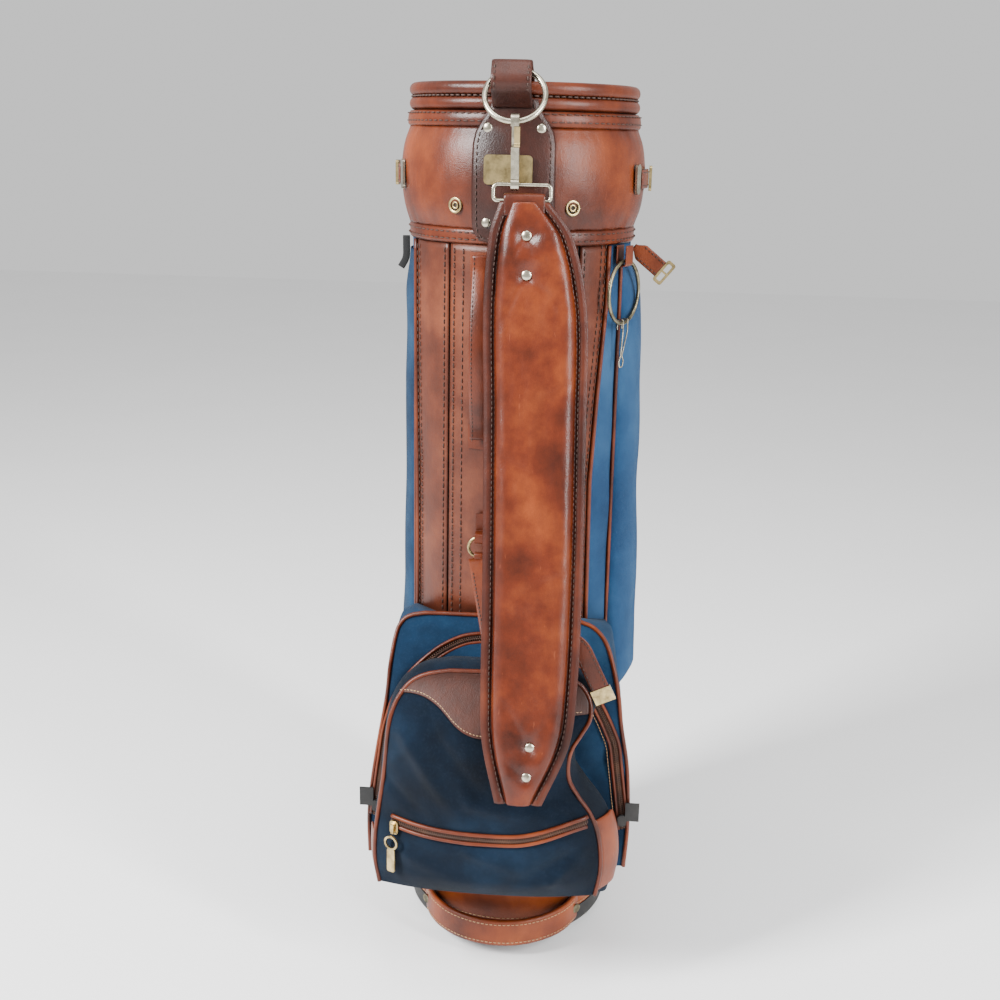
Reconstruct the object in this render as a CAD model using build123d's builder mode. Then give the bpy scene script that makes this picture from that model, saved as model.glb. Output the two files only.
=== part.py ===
from build123d import *
from math import sin, cos, radians, sqrt, atan2, degrees
import os

# A stand-up golf bag: a stiff tube dressed in leather and canvas, a padded leather cuff,
# stacked pockets in front, and a padded shoulder strap clipped to a ring at the rim.
# +Z is up, the origin is the centre of the base's underside, and the pockets face -Y.

# ---- driving dimensions, mm ----
tube_inner_radius = 103.0
tube_wall = 3.0
cover_thickness = 3.0
trunk_top = 745.0
cuff_height = 145.0
cuff_bulge = 7.0
hem_height = 14.0
band_height = 14.0
bead_height = 13.0
pan_height = 27.0
foot_height = 5.0
base_band_height = 51.0
layer_gap = 0.2
piece_gap = 0.4
leather = 3.0
panel_half_angle = 33.0
seam_angle = 0.15
strip_outer_angle = 62.0
piping_width_angle = 2.4
tab_half_angle = 19.0
ring_wire = 5.0
ring_radius = 26.5
ring_lean = 34.0
loop_wire = 3.5
loop_width = 51.0
loop_depth = 14.0
hook_length = 54.0
pad_length = trunk_top - 205
pad_thickness = 11.0
flange_width = 10.0
pocket_wall = 2.5
upper_pocket_front = 141.0
upper_pocket_top = 388.0
ball_pocket_front = 226.0
ball_pocket_top = 350.0
pocket_bottom = 120.0
right_pocket_bulge = 23.0
left_pocket_bulge = 11.0
divider_height = 22.0
divider_bar = 8.0
compartment_half_depth = 30.0
towel_ring_radius = 30.0
towel_ring_wire = 3.6

# ---- sizes that follow from them ----
tube_outer_radius = tube_inner_radius + tube_wall
cover_inner_radius = tube_outer_radius + layer_gap
cover_radius = cover_inner_radius + cover_thickness
canvas_radius = cover_radius - 0.6
pan_radius = cover_radius + 0.8
foot_radius = 14.0
pan_floor = 4.0
pan_top = pan_height
band_top = pan_top + base_band_height
hem_top = trunk_top + hem_height
cuff_radius = cover_radius + 4.0
cuff_top = hem_top + cuff_height - hem_height - band_height - 2 * bead_height
band_ring_top = cuff_top + band_height
bead_top = band_ring_top + bead_height
rim_top = bead_top + bead_height
rim_inner_radius = tube_inner_radius - 2.5
cuff_half = (cuff_top - hem_top) / 2
cuff_middle = (cuff_top + hem_top) / 2
cuff_arc_radius = (cuff_half**2 + cuff_bulge**2) / (2 * cuff_bulge)
cuff_arc_centre = cuff_radius + cuff_bulge - cuff_arc_radius

os.makedirs("parts", exist_ok=True)


def save(piece, name):
    piece.part.label = name
    export_step(piece.part, f"parts/{name}.step")


def around(radius, angle):
    """The plan point at a radius and an angle from the front, positive towards +X."""
    return (radius * sin(radians(angle)), -radius * cos(radians(angle)))


def ring_sector(inner, outer, low, high, start, end):
    """An upright curved plate between two radii, two heights and two angles from the front."""
    middle = (start + end) / 2
    with BuildPart() as plate:
        with BuildSketch(Plane.XY.offset(low)):
            with BuildLine():
                ThreePointArc(around(outer, start), around(outer, middle), around(outer, end))
                Line(around(outer, end), around(inner, end))
                ThreePointArc(around(inner, end), around(inner, middle), around(inner, start))
                Line(around(inner, start), around(outer, start))
            make_face()
        extrude(amount=high - low)
    return plate.part


def hoop(inner, outer, low, high):
    """A full upright ring between two radii and two heights."""
    with BuildPart() as ring:
        with BuildSketch(Plane.XY.offset(low)):
            Circle(outer)
            Circle(inner, mode=Mode.SUBTRACT)
        extrude(amount=high - low)
    return ring.part


def radial_plane(radius, angle, height):
    """A plane facing straight out of the bag at a radius, an angle and a height."""
    x, y = around(radius, angle)
    direction = (sin(radians(angle)), -cos(radians(angle)), 0)
    tangent = (cos(radians(angle)), sin(radians(angle)), 0)
    return Plane(origin=(x, y, height), x_dir=tangent, z_dir=direction)


def cuff_surface(height):
    """The padded cuff's outer radius at a height."""
    return cuff_arc_centre + sqrt(cuff_arc_radius**2 - (height - cuff_middle) ** 2)


# ================= base =================
with BuildPart() as base_pan:
    with BuildSketch(Plane.XY.offset(foot_height)):
        Circle(pan_radius)
    extrude(amount=pan_top - foot_height)
    fillet(base_pan.faces().sort_by(Axis.Z)[0].edges(), 7)
    with BuildSketch(Plane.XY.offset(foot_height + pan_floor)):
        Circle(tube_outer_radius + layer_gap)
    extrude(amount=pan_height, mode=Mode.SUBTRACT)
save(base_pan, "base_pan")

foot_circle = pan_radius - foot_radius - 12
with BuildPart() as base_feet:
    with BuildSketch(Plane.XY):
        Circle(foot_radius + 6)
        with PolarLocations(foot_circle, 4, 45):
            Circle(foot_radius)
    extrude(amount=foot_height)
save(base_feet, "base_feet")

with BuildPart() as base_band:
    add(hoop(cover_inner_radius, pan_radius, pan_top, band_top))
save(base_band, "base_band")

# The lift handle bows out in front of the base and is riveted flat at both ends.
handle_low = 18.0
handle_tall = 30.0
handle_half_span = 84.0
handle_reach = 141.0
handle_thickness = 5.0
end_y = -sqrt((pan_radius + handle_thickness) ** 2 - handle_half_span**2)
handle_sag = handle_reach + end_y
handle_arc = (handle_half_span**2 + handle_sag**2) / (2 * handle_sag)
handle_centre_y = -handle_reach + handle_arc
with BuildPart() as base_handle:
    with BuildSketch(Plane.XY.offset(handle_low)):
        with Locations((0, handle_centre_y)):
            Circle(handle_arc)
            Circle(handle_arc - handle_thickness, mode=Mode.SUBTRACT)
        with Locations((0, handle_reach + end_y)):
            Rectangle(400, 2 * handle_reach, mode=Mode.SUBTRACT)
        Circle(pan_radius + layer_gap, mode=Mode.SUBTRACT)
    extrude(amount=handle_tall)
save(base_handle, "base_handle")

rivet_angle = 44.0
rivet_radius = 5.0
rivet_head = 1.6


def handle_outer_radius(angle):
    """How far out the lift handle's outer face lies at an angle from the front."""
    direction_y = -cos(radians(angle))
    half = handle_centre_y * direction_y
    return half + sqrt(half**2 - handle_centre_y**2 + handle_arc**2)


with BuildPart() as base_handle_rivets:
    for angle in (-rivet_angle, rivet_angle):
        reach = handle_outer_radius(angle)
        with BuildSketch(radial_plane(reach, angle, handle_low + handle_tall / 2)):
            Circle(rivet_radius)
        extrude(amount=rivet_head)
save(base_handle_rivets, "base_handle_rivets")

# ================= trunk =================
tube_floor = foot_height + pan_floor
with BuildPart() as body_tube:
    add(hoop(tube_inner_radius, tube_outer_radius, tube_floor, bead_top))
save(body_tube, "body_tube")

piping_outer_angle = strip_outer_angle + piping_width_angle
with BuildPart() as canvas_body:
    add(ring_sector(cover_inner_radius, canvas_radius, band_top, trunk_top,
                    piping_outer_angle, 360 - piping_outer_angle))
save(canvas_body, "canvas_body")

with BuildPart() as front_panel:
    add(ring_sector(cover_inner_radius, cover_radius, band_top, trunk_top,
                    -panel_half_angle, panel_half_angle))
save(front_panel, "front_panel")

with BuildPart() as side_strips:
    for side in (-1, 1):
        edges = sorted((side * (panel_half_angle + seam_angle), side * (strip_outer_angle - seam_angle)))
        add(ring_sector(cover_inner_radius, cover_radius, band_top, trunk_top, *edges))
save(side_strips, "side_strips")

with BuildPart() as body_piping:
    for side in (-1, 1):
        edges = sorted((side * strip_outer_angle, side * (piping_outer_angle - seam_angle)))
        add(ring_sector(cover_inner_radius, cover_radius + 1.5, band_top, trunk_top, *edges))
save(body_piping, "body_piping")

# ================= cuff =================
with BuildPart() as cuff_hem:
    add(hoop(cover_inner_radius, cuff_radius - 1, trunk_top, hem_top))
save(cuff_hem, "cuff_hem")

with BuildPart() as cuff_body:
    with BuildSketch(Plane.XZ):
        with BuildLine():
            Polyline((cuff_radius, hem_top), (cover_inner_radius, hem_top),
                     (cover_inner_radius, cuff_top), (cuff_radius, cuff_top))
            ThreePointArc((cuff_radius, cuff_top), (cuff_radius + cuff_bulge, cuff_middle),
                          (cuff_radius, hem_top))
        make_face()
    revolve(axis=Axis.Z)
save(cuff_body, "cuff_body")

with BuildPart() as cuff_band:
    add(hoop(cover_inner_radius, cuff_radius, cuff_top, band_ring_top))
save(cuff_band, "cuff_band")

with BuildPart() as rim_beads:
    for low, inner in ((band_ring_top, cover_inner_radius), (bead_top, rim_inner_radius)):
        with BuildSketch(Plane.XZ):
            with BuildLine():
                outer = cuff_radius - 1
                high = low + bead_height
                Line((inner, low), (outer - 5, low))
                ThreePointArc((outer - 5, low), (outer, low + bead_height / 2), (outer - 5, high))
                Line((outer - 5, high), (inner, high))
                Line((inner, high), (inner, low))
            make_face()
        revolve(axis=Axis.Z)
save(rim_beads, "rim_beads")

lining_outer = tube_inner_radius - layer_gap
lining_inner = lining_outer - 1.0
with BuildPart() as cuff_lining:
    add(hoop(lining_inner, lining_outer, hem_top, bead_top))
save(cuff_lining, "cuff_lining")

divider_top = bead_top - 3
divider_outer = lining_inner - layer_gap
divider_inner = divider_outer - 9
with BuildPart() as club_divider:
    with BuildSketch(Plane.XY.offset(divider_top - divider_height)):
        Circle(divider_outer)
        Circle(divider_inner, mode=Mode.SUBTRACT)
        bar_length = 2 * sqrt(divider_outer**2 - (compartment_half_depth + divider_bar) ** 2)
        with Locations((0, compartment_half_depth), (0, -compartment_half_depth)):
            Rectangle(bar_length, divider_bar)
    extrude(amount=divider_height)
save(club_divider, "club_divider")

# ---- tab, its loop, rivets and trim on the cuff ----


def cuff_shell(offset_in, offset_out, low, high):
    """A curved skin over the padded cuff, full circle, between two offsets from its surface."""
    def on_arc(offset, height):
        reach = cuff_arc_radius + offset
        return (cuff_arc_centre + sqrt(reach**2 - (height - cuff_middle) ** 2), height)

    with BuildPart() as skin:
        with BuildSketch(Plane.XZ):
            with BuildLine():
                middle = (low + high) / 2
                ThreePointArc(on_arc(offset_out, low), on_arc(offset_out, middle), on_arc(offset_out, high))
                Line(on_arc(offset_out, high), on_arc(offset_in, high))
                ThreePointArc(on_arc(offset_in, high), on_arc(offset_in, middle), on_arc(offset_in, low))
                Line(on_arc(offset_in, low), on_arc(offset_out, low))
            make_face()
        revolve(axis=Axis.Z)
    return skin.part


tab_half_width = (cuff_radius + cuff_bulge) * sin(radians(tab_half_angle))
with BuildPart() as cuff_tab:
    add(cuff_shell(layer_gap, leather, hem_top, cuff_top))
    with BuildSketch(Plane.XZ):
        with Locations((0, cuff_middle)):
            RectangleRounded(2 * tab_half_width, cuff_top - hem_top - 1, 16)
    extrude(amount=2 * cuff_radius, mode=Mode.INTERSECT)
save(cuff_tab, "cuff_tab")

# The ring hangs from a leather loop that comes up from the tab and folds back over the rim.
lean = radians(ring_lean)
ring_hang_y = -cuff_radius - 11.98
ring_hang_z = rim_top + 8.47
ring_centre = Vector(2, ring_hang_y - ring_radius * sin(lean), ring_hang_z - ring_radius * cos(lean))


def at_ring(up, out):
    """A point (y, z) at a distance up the leaning ring's plane and out from it."""
    return (ring_centre.Y + up * sin(lean) - out * cos(lean),
            ring_centre.Z + up * cos(lean) + out * sin(lean))


loop_half_width = 18.0
loop_leather = 2.4
loop_front = -cuff_radius - 2.2
with BuildPart() as tab_loop:
    with BuildSketch(Plane.YZ.offset(-loop_half_width)):
        with BuildLine() as loop_path:
            FilletPolyline((loop_front, cuff_top), at_ring(ring_radius - 20, 0), at_ring(ring_radius - 14.5, 7.2),
                           at_ring(ring_radius + 5.5, 7.2), at_ring(ring_radius + 5.5, -5),
                           (-rim_inner_radius + 1.5, rim_top + 3.2), (-rim_inner_radius + 5, rim_top - 4),
                           (-rim_inner_radius + 5, bead_top - 1), radius=2.2)
        trace(loop_path.line, line_width=loop_leather)
    extrude(amount=2 * loop_half_width)
save(tab_loop, "tab_loop")

ring_plane = Plane(origin=ring_centre, x_dir=(1, 0, 0), z_dir=(0, -cos(lean), sin(lean)))
with BuildPart() as strap_ring:
    with BuildLine(ring_plane):
        CenterArc((0, 0), ring_radius, 0, 360)
    with BuildSketch(Plane(origin=ring_plane.from_local_coords((ring_radius, 0, 0)),
                           z_dir=ring_plane.y_dir)):
        Circle(ring_wire / 2)
    sweep()
save(strap_ring, "strap_ring")

tab_rivet_angle = 12.0
tab_rivet_rows = (hem_top + 6, cuff_top - 6)


def cuff_plane(angle, height, offset=0.0):
    return radial_plane(cuff_surface(height) + offset, angle, height)


with BuildPart() as tab_rivets:
    for height in tab_rivet_rows:
        for angle in (-tab_rivet_angle, tab_rivet_angle):
            with BuildSketch(cuff_plane(angle, height, leather)):
                Circle(4.5)
            extrude(amount=2.2)
save(tab_rivets, "tab_rivets")

emblem_height = trunk_top + 68
with BuildPart() as emblem_plate:
    with BuildSketch(cuff_plane(-2, emblem_height, leather + 0.4)):
        RectangleRounded(44, 26, 4)
    extrude(amount=1.6)
save(emblem_plate, "emblem_plate")

stud_height = trunk_top + 35
stud_angle = 27.5
with BuildPart() as hood_studs:
    for angle in (-stud_angle, stud_angle):
        with BuildSketch(cuff_plane(angle, stud_height, 0.4)):
            Circle(7.5)
        extrude(amount=2.2)
        with BuildSketch(cuff_plane(angle, stud_height, 0.4)):
            Circle(4.2)
        extrude(amount=4.2)
        with BuildSketch(cuff_plane(angle, stud_height, 4.6)):
            Circle(2.2)
        extrude(amount=-2.5, mode=Mode.SUBTRACT)
save(hood_studs, "hood_studs")

slot_angle = 68.0
slot_height = trunk_top + 60
slot_half_height = 14.0
with BuildPart() as slot_frames:
    for side in (-1, 1):
        with BuildSketch(cuff_plane(side * slot_angle, slot_height, 0.4)):
            SlotOverall(2 * slot_half_height, 9, rotation=90)
        extrude(amount=2.4)
save(slot_frames, "slot_frames")

strap_start = slot_angle + 4
strap_end = strap_start + 22
short_strap_inner = cuff_radius + cuff_bulge + piece_gap
short_strap_outer = short_strap_inner + leather
with BuildPart() as cuff_straps:
    for side in (-1, 1):
        edges = sorted((side * strap_start, side * strap_end))
        add(ring_sector(short_strap_inner, short_strap_outer, slot_height - 9, slot_height + 9, *edges))
save(cuff_straps, "cuff_straps")

with BuildPart() as cuff_buckles:
    for side in (-1, 1):
        with BuildSketch(radial_plane(short_strap_outer + piece_gap, side * (strap_end - 4), slot_height)):
            RectangleRounded(15, 24, 3)
            RectangleRounded(9, 18, 2, mode=Mode.SUBTRACT)
            Rectangle(15, 2.4)
        extrude(amount=2.8)
save(cuff_buckles, "cuff_buckles")

# ================= snap hook and loop =================
wire_low = at_ring(-ring_radius, 0)
hook_x = 4.0
hook_top = Vector(hook_x, wire_low[0], wire_low[1])
loop_bar_y = ring_centre.Y - 6
hook_lean = atan2(loop_bar_y - hook_top.Y, sqrt(hook_length**2 - (loop_bar_y - hook_top.Y) ** 2))
hook_plane = Plane(origin=hook_top, x_dir=(0, -cos(hook_lean), -sin(hook_lean)), z_dir=(-1, 0, 0))
curl_radius = ring_wire / 2 + 1.3 + 1.5
hook_width = 7.0
eye_hole = loop_wire / 2 + 0.3
hook_half = Plane(origin=hook_plane.origin + Vector(hook_width / 2, 0, 0),
                  x_dir=hook_plane.x_dir, z_dir=hook_plane.z_dir)
with BuildPart() as snap_hook:
    with BuildSketch(hook_half):
        with BuildLine() as curl:
            Line((-curl_radius, -22), (-curl_radius, 0))
            ThreePointArc((-curl_radius, 0), (0, curl_radius), (curl_radius, 0))
            Line((curl_radius, 0), (curl_radius, -3))
        trace(curl.line, line_width=3)
        with Locations((-curl_radius + 3.5, -29)):
            Rectangle(10, 15)
        with Locations((0, -42)):
            Rectangle(5, 14)
        with Locations((0, -hook_length)):
            Circle(eye_hole + 3.2)
            Circle(eye_hole, mode=Mode.SUBTRACT)
    extrude(amount=hook_width)
save(snap_hook, "snap_hook")

gate_hinge_drop = 19.0
with BuildPart() as snap_gate:
    with BuildSketch(hook_half.offset(-1)):
        with BuildLine() as gate_line:
            Line((curl_radius, -3.4), (curl_radius, -gate_hinge_drop))
        trace(gate_line.line, line_width=2.4)
        with Locations((curl_radius, -gate_hinge_drop)):
            Circle(1.9)
    extrude(amount=hook_width - 2)
save(snap_gate, "snap_gate")

loop_centre_x = 10.5
loop_bar = hook_plane.from_local_coords((0, -hook_length, 0))
loop_plane = Plane(origin=(loop_centre_x, loop_bar.Y, loop_bar.Z), x_dir=(1, 0, 0), z_dir=(0, -1, 0.06))
with BuildPart() as hook_loop:
    with BuildLine(loop_plane):
        loop_path = FilletPolyline((-loop_width / 2, 0), (loop_width / 2, 0), (loop_width / 2, -loop_depth),
                                   (-loop_width / 2, -loop_depth), radius=4, close=True)
    with BuildSketch(Plane(origin=loop_path @ 0, z_dir=loop_path % 0)):
        Circle(loop_wire / 2)
    sweep()
save(hook_loop, "hook_loop")

# ================= shoulder pad =================
fold_bar = loop_plane.from_local_coords((0, -loop_depth, 0))
pad_top_z = fold_bar.Z
backing = 2.6
pad_stretch = pad_length / 540
fold_radius = loop_wire / 2 + 0.35 + 2.4


def pad_line(offset):
    """The pad's side profile (y, z): upright at the top, then leaning out over the pockets."""
    bends = ((0, -2), (-4, -100), (-16, -190), (-52, -360), (-74, -450), (-96, -540))
    return [(fold_bar.Y + y + offset, pad_top_z + z * pad_stretch) for y, z in bends]


def pad_slab(back, front):
    """The pad's side profile between two distances in front of its back face, 140 wide."""
    with BuildPart() as slab:
        with BuildSketch(Plane.YZ.offset(-50)):
            with BuildLine():
                rear = Spline(*pad_line(-back))
                face = Spline(*pad_line(-front))
                Line(rear @ 0, face @ 0)
                Line(rear @ 1, face @ 1)
            make_face()
        extrude(amount=160)
    return slab.part


pad_outline = [(-9, 0), (-18, -30), (-22, -95), (-19, -185), (-14, -355), (-12, -440), (-9, -485),
               (5, -540), (49, -540), (72, -485), (77, -440), (78, -355), (75, -185),
               (72, -95), (57, -30), (35, 0)]


def pad_face(inset):
    """The pad's front outline, drawn in from its edge, as a tall bar along Y."""
    with BuildPart() as bar:
        with BuildSketch(Plane.XZ.offset(100)):
            with BuildLine():
                Polyline(*[(x, pad_top_z + z * pad_stretch) for x, z in pad_outline], close=True)
            make_face()
            if inset > 0:
                offset(amount=-inset, mode=Mode.REPLACE)
        extrude(amount=200)
    return bar.part


with BuildPart() as pad_backing:
    add(pad_slab(0, backing))
    add(pad_face(0), mode=Mode.INTERSECT)
    with BuildSketch(Plane.YZ.offset(-8)):
        with Locations((fold_bar.Y, fold_bar.Z)):
            Circle(fold_radius)
    extrude(amount=37)
    with BuildSketch(Plane.YZ.offset(-20)):
        with Locations((fold_bar.Y, fold_bar.Z)):
            Circle(loop_wire / 2 + 0.35)
    extrude(amount=80, mode=Mode.SUBTRACT)
save(pad_backing, "pad_backing")

with BuildPart() as pad_core:
    add(pad_slab(backing, backing + pad_thickness))
    add(pad_face(flange_width), mode=Mode.INTERSECT)
    with BuildSketch(Plane.XY.offset(pad_top_z - 12)):
        Rectangle(400, 800)
    extrude(amount=60, mode=Mode.SUBTRACT)
save(pad_core, "pad_core")


def pad_y(height):
    """The back face of the pad at a height, along straight runs between its profile's points."""
    points = pad_line(0)
    for (y0, z0), (y1, z1) in zip(points, points[1:]):
        if z1 <= height <= z0:
            return y0 + (y1 - y0) * (height - z0) / (z1 - z0)
    return points[-1][0]


pad_rivet_places = [(x, z * pad_stretch) for x, z in ((16, -29), (17, -63), (36, -486), (34, -513))]
with BuildPart() as pad_rivets:
    for x, drop in pad_rivet_places:
        front = pad_y(pad_top_z + drop) - backing - pad_thickness - 1.5
        with BuildSketch(Plane(origin=(x, front, pad_top_z + drop), z_dir=(0, -1, 0))):
            Circle(4.5)
        extrude(amount=2.2)
save(pad_rivets, "pad_rivets")

buckle_z = 378.0
buckle_x = 32.0
with BuildPart() as pad_buckle:
    buckle_plane = Plane(origin=(buckle_x, pad_y(buckle_z) + 6.0, buckle_z), x_dir=(1, 0, 0), z_dir=(0, 1, 0.24))
    with BuildSketch(buckle_plane):
        RectangleRounded(30, 24, 3)
        RectangleRounded(22, 16, 2, mode=Mode.SUBTRACT)
        Rectangle(2.4, 24)
    extrude(amount=2.4)
save(pad_buckle, "pad_buckle")

# ================= pockets =================
upper_outline = [(-136, pocket_bottom), (-135, 164), (-126, 250), (-112, 345), (-84, upper_pocket_top - 6),
                 (77, upper_pocket_top - 6), (111, 340), (124, 265), (132, 190), (133, pocket_bottom)]
ball_outline = [(-119, pocket_bottom + 4), (-117, 178), (-108, 250), (-102, 305), (-76, ball_pocket_top - 8),
                (0, ball_pocket_top), (72, ball_pocket_top - 6), (94, 315), (96, 235), (108, 183),
                (110, pocket_bottom + 10)]
ball_back = upper_pocket_front + 1.9
front_half_span = 118.0
front_sag = 31.0
front_arc = (front_half_span**2 + front_sag**2) / (2 * front_sag)
front_centre_y = -ball_pocket_front + front_arc


def outline_bar(points, grow, corner):
    """A front outline with rounded corners, grown or shrunk, as a bar along Y through the bag's front."""
    with BuildPart() as bar:
        with BuildSketch(Plane.XZ):
            with BuildLine():
                FilletPolyline(*points, radius=corner, close=True)
            make_face()
            if grow != 0:
                offset(amount=grow, kind=Kind.INTERSECTION, mode=Mode.REPLACE)
        extrude(amount=300)
    return bar.part


def upper_pocket_form(grow):
    """The upper pocket's full form, grown by an amount, before the trunk is cut out of it."""
    with BuildPart() as form:
        add(outline_bar(upper_outline, grow, 12))
        with BuildSketch(Plane.XY):
            with BuildLine():
                FilletPolyline((-98, -46), (-126, -62), (-138, -100), (-138, -upper_pocket_front),
                               (138, -upper_pocket_front), (138, -100), (126, -62), (98, -46),
                               radius=6, close=True)
            make_face()
            if grow != 0:
                offset(amount=grow, kind=Kind.INTERSECTION, mode=Mode.REPLACE)
        extrude(amount=500, mode=Mode.INTERSECT)
    return form.part


def ball_pocket_form(grow):
    """The ball pocket's full form, grown by an amount: a bowed front whose top slopes back."""
    with BuildPart() as form:
        add(outline_bar(ball_outline, grow, 9))
        with BuildSketch(Plane.XY):
            with Locations((0, front_centre_y)):
                Circle(front_arc + grow)
            with Locations((0, -ball_back + 200 + min(grow, 0))):
                Rectangle(600, 400, mode=Mode.SUBTRACT)
        extrude(amount=500, mode=Mode.INTERSECT)
        with BuildSketch(Plane.YZ.offset(-200)):
            with BuildLine():
                Polyline((0, pocket_bottom - grow), (-ball_pocket_front + 12, pocket_bottom - grow),
                         (-ball_pocket_front - grow, 150), (-ball_pocket_front - grow, 250),
                         (-ball_pocket_front + 12 - grow, 300 + grow),
                         (-ball_pocket_front + 30 - grow, 334 + grow),
                         (-ball_pocket_front + 48, ball_pocket_top + grow), (0, ball_pocket_top + grow),
                         close=True)
            make_face()
        extrude(amount=400, mode=Mode.INTERSECT)
    return form.part


with BuildPart() as trunk_cutter:
    with BuildSketch(Plane.XY):
        Circle(cover_radius + 1.8)
    extrude(amount=trunk_top)

with BuildPart() as upper_pocket:
    add(upper_pocket_form(0))
    add(upper_pocket_form(-pocket_wall), mode=Mode.SUBTRACT)
    add(trunk_cutter.part, mode=Mode.SUBTRACT)
save(upper_pocket, "upper_pocket")

with BuildPart() as ball_cavity:
    add(ball_pocket_form(-pocket_wall))
    add(Pos(0, 8, 0) * ball_pocket_form(-pocket_wall))
with BuildPart() as ball_pocket:
    add(ball_pocket_form(0))
    add(ball_cavity.part, mode=Mode.SUBTRACT)
save(ball_pocket, "ball_pocket")

piping_width = 4.0
with BuildPart() as pocket_piping:
    add(outline_bar(ball_outline, 3.0, 9))
    add(outline_bar(ball_outline, layer_gap, 9), mode=Mode.SUBTRACT)
    with BuildSketch(Plane.XZ.offset(ball_pocket_front - 30)):
        Rectangle(600, 1000)
    extrude(amount=piping_width, mode=Mode.INTERSECT)
save(pocket_piping, "pocket_piping")

# ---- leather trim on the ball pocket ----
yoke_low = 304.0
with BuildPart() as ball_yoke:
    add(ball_pocket_form(1.6))
    add(ball_pocket_form(layer_gap), mode=Mode.SUBTRACT)
    with BuildSketch(Plane.XZ.offset(ball_pocket_front - 26 + piping_width)):
        with Locations((-5, yoke_low + 50)):
            Rectangle(190, 100)
    extrude(amount=100, mode=Mode.INTERSECT)
save(ball_yoke, "ball_yoke")

gusset_top = 214.0
gusset_back = upper_pocket_front + 4
with BuildPart() as pocket_gussets:
    add(outline_bar(ball_outline, 1.8, 9))
    add(outline_bar(ball_outline, layer_gap, 9), mode=Mode.SUBTRACT)
    with BuildSketch(Plane.XZ.offset(gusset_back)):
        with Locations((-130, (gusset_top + pocket_bottom) / 2 + 12), (130, (gusset_top + pocket_bottom) / 2 + 12)):
            Rectangle(60, gusset_top - pocket_bottom - 30)
    extrude(amount=ball_pocket_front - 31 - gusset_back, mode=Mode.INTERSECT)
save(pocket_gussets, "pocket_gussets")

# ---- zippers ----
zip_height = 194.0
zip_tape = 12.0
zip_thickness = 1.6
zip_half_angle = 24.0
with BuildPart() as ball_zip:
    with BuildSketch(Plane.XY.offset(zip_height - zip_tape / 2)):
        with BuildLine():
            outer = [(front_arc + piece_gap + zip_thickness) * v for v in (sin(radians(zip_half_angle)),
                     cos(radians(zip_half_angle)))]
            inner = [(front_arc + layer_gap) * v for v in (sin(radians(zip_half_angle)),
                     cos(radians(zip_half_angle)))]
            ThreePointArc((-outer[0], front_centre_y - outer[1]),
                          (0, front_centre_y - front_arc - piece_gap - zip_thickness),
                          (outer[0], front_centre_y - outer[1]))
            Line((outer[0], front_centre_y - outer[1]), (inner[0], front_centre_y - inner[1]))
            ThreePointArc((inner[0], front_centre_y - inner[1]), (0, front_centre_y - front_arc - layer_gap),
                          (-inner[0], front_centre_y - inner[1]))
            Line((-inner[0], front_centre_y - inner[1]), (-outer[0], front_centre_y - outer[1]))
        make_face()
    extrude(amount=zip_tape)
save(ball_zip, "ball_zip")

slider_angle = -23.0
slider_reach = front_arc + piece_gap + zip_thickness + 0.4


def bow_plane(angle, reach, height):
    """A plane facing out of the ball pocket's bowed front."""
    direction = (sin(radians(angle)), -cos(radians(angle)), 0)
    tangent = (cos(radians(angle)), sin(radians(angle)), 0)
    origin = (reach * direction[0], front_centre_y + reach * direction[1], height)
    return Plane(origin=origin, x_dir=tangent, z_dir=direction)


with BuildPart() as ball_slider:
    with BuildSketch(bow_plane(slider_angle, slider_reach, zip_height)):
        RectangleRounded(9, 14, 3)
    extrude(amount=2.6)
    with BuildSketch(bow_plane(slider_angle, slider_reach + 2.6, zip_height)):
        Rectangle(3, 10)
    extrude(amount=3.4)
    with BuildSketch(bow_plane(slider_angle, slider_reach + 2.6, zip_height)):
        Rectangle(4, 6)
    extrude(amount=1.9, mode=Mode.SUBTRACT)
save(ball_slider, "ball_slider")

with BuildPart() as ball_puller:
    with BuildSketch(bow_plane(slider_angle, slider_reach + 6.5, zip_height - 14)):
        Circle(7.5)
        Circle(5.5, mode=Mode.SUBTRACT)
        with Locations((0, -19)):
            RectangleRounded(8.5, 25, 2)
    extrude(amount=1.8)
save(ball_puller, "ball_puller")

leg_low = (127.5, 166.0)
leg_high = (115.0, 262.0)
track_front = upper_pocket_front + layer_gap
with BuildPart() as upper_zip:
    with BuildSketch(Plane.XZ.offset(track_front)):
        with BuildLine() as track:
            FilletPolyline((-leg_low[0], leg_low[1]), (-leg_high[0], leg_high[1]), (-78, 340), (-40, 364),
                           (40, 366), (82, 340), leg_high, leg_low, radius=26)
        trace(track.line, line_width=8)
    extrude(amount=1.2)
save(upper_zip, "upper_zip")

leg_lean = degrees(atan2(leg_low[0] - leg_high[0], leg_high[1] - leg_low[1]))
for side, name in ((-1, "upper_slider_left"), (1, "upper_slider_right")):
    slider_x = side * (leg_low[0] - 12 * sin(radians(leg_lean)))
    slider_plane = Plane(origin=(slider_x, -track_front - 1.6, leg_low[1] + 12 * cos(radians(leg_lean))),
                         x_dir=(cos(radians(leg_lean)), 0, side * sin(radians(leg_lean))), z_dir=(0, -1, 0))
    with BuildPart() as upper_slider:
        with BuildSketch(slider_plane):
            RectangleRounded(8, 12, 3)
        extrude(amount=2.6)
        with BuildSketch(Plane(origin=(slider_x + side * 10, -track_front - 2.4, slider_plane.origin.Z))):
            Rectangle(14, 1.6)
        extrude(amount=20)
    save(upper_slider, name)

# ---- garment pockets along the sides ----
garment_low = 256.0
garment_high = trunk_top - 10


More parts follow.
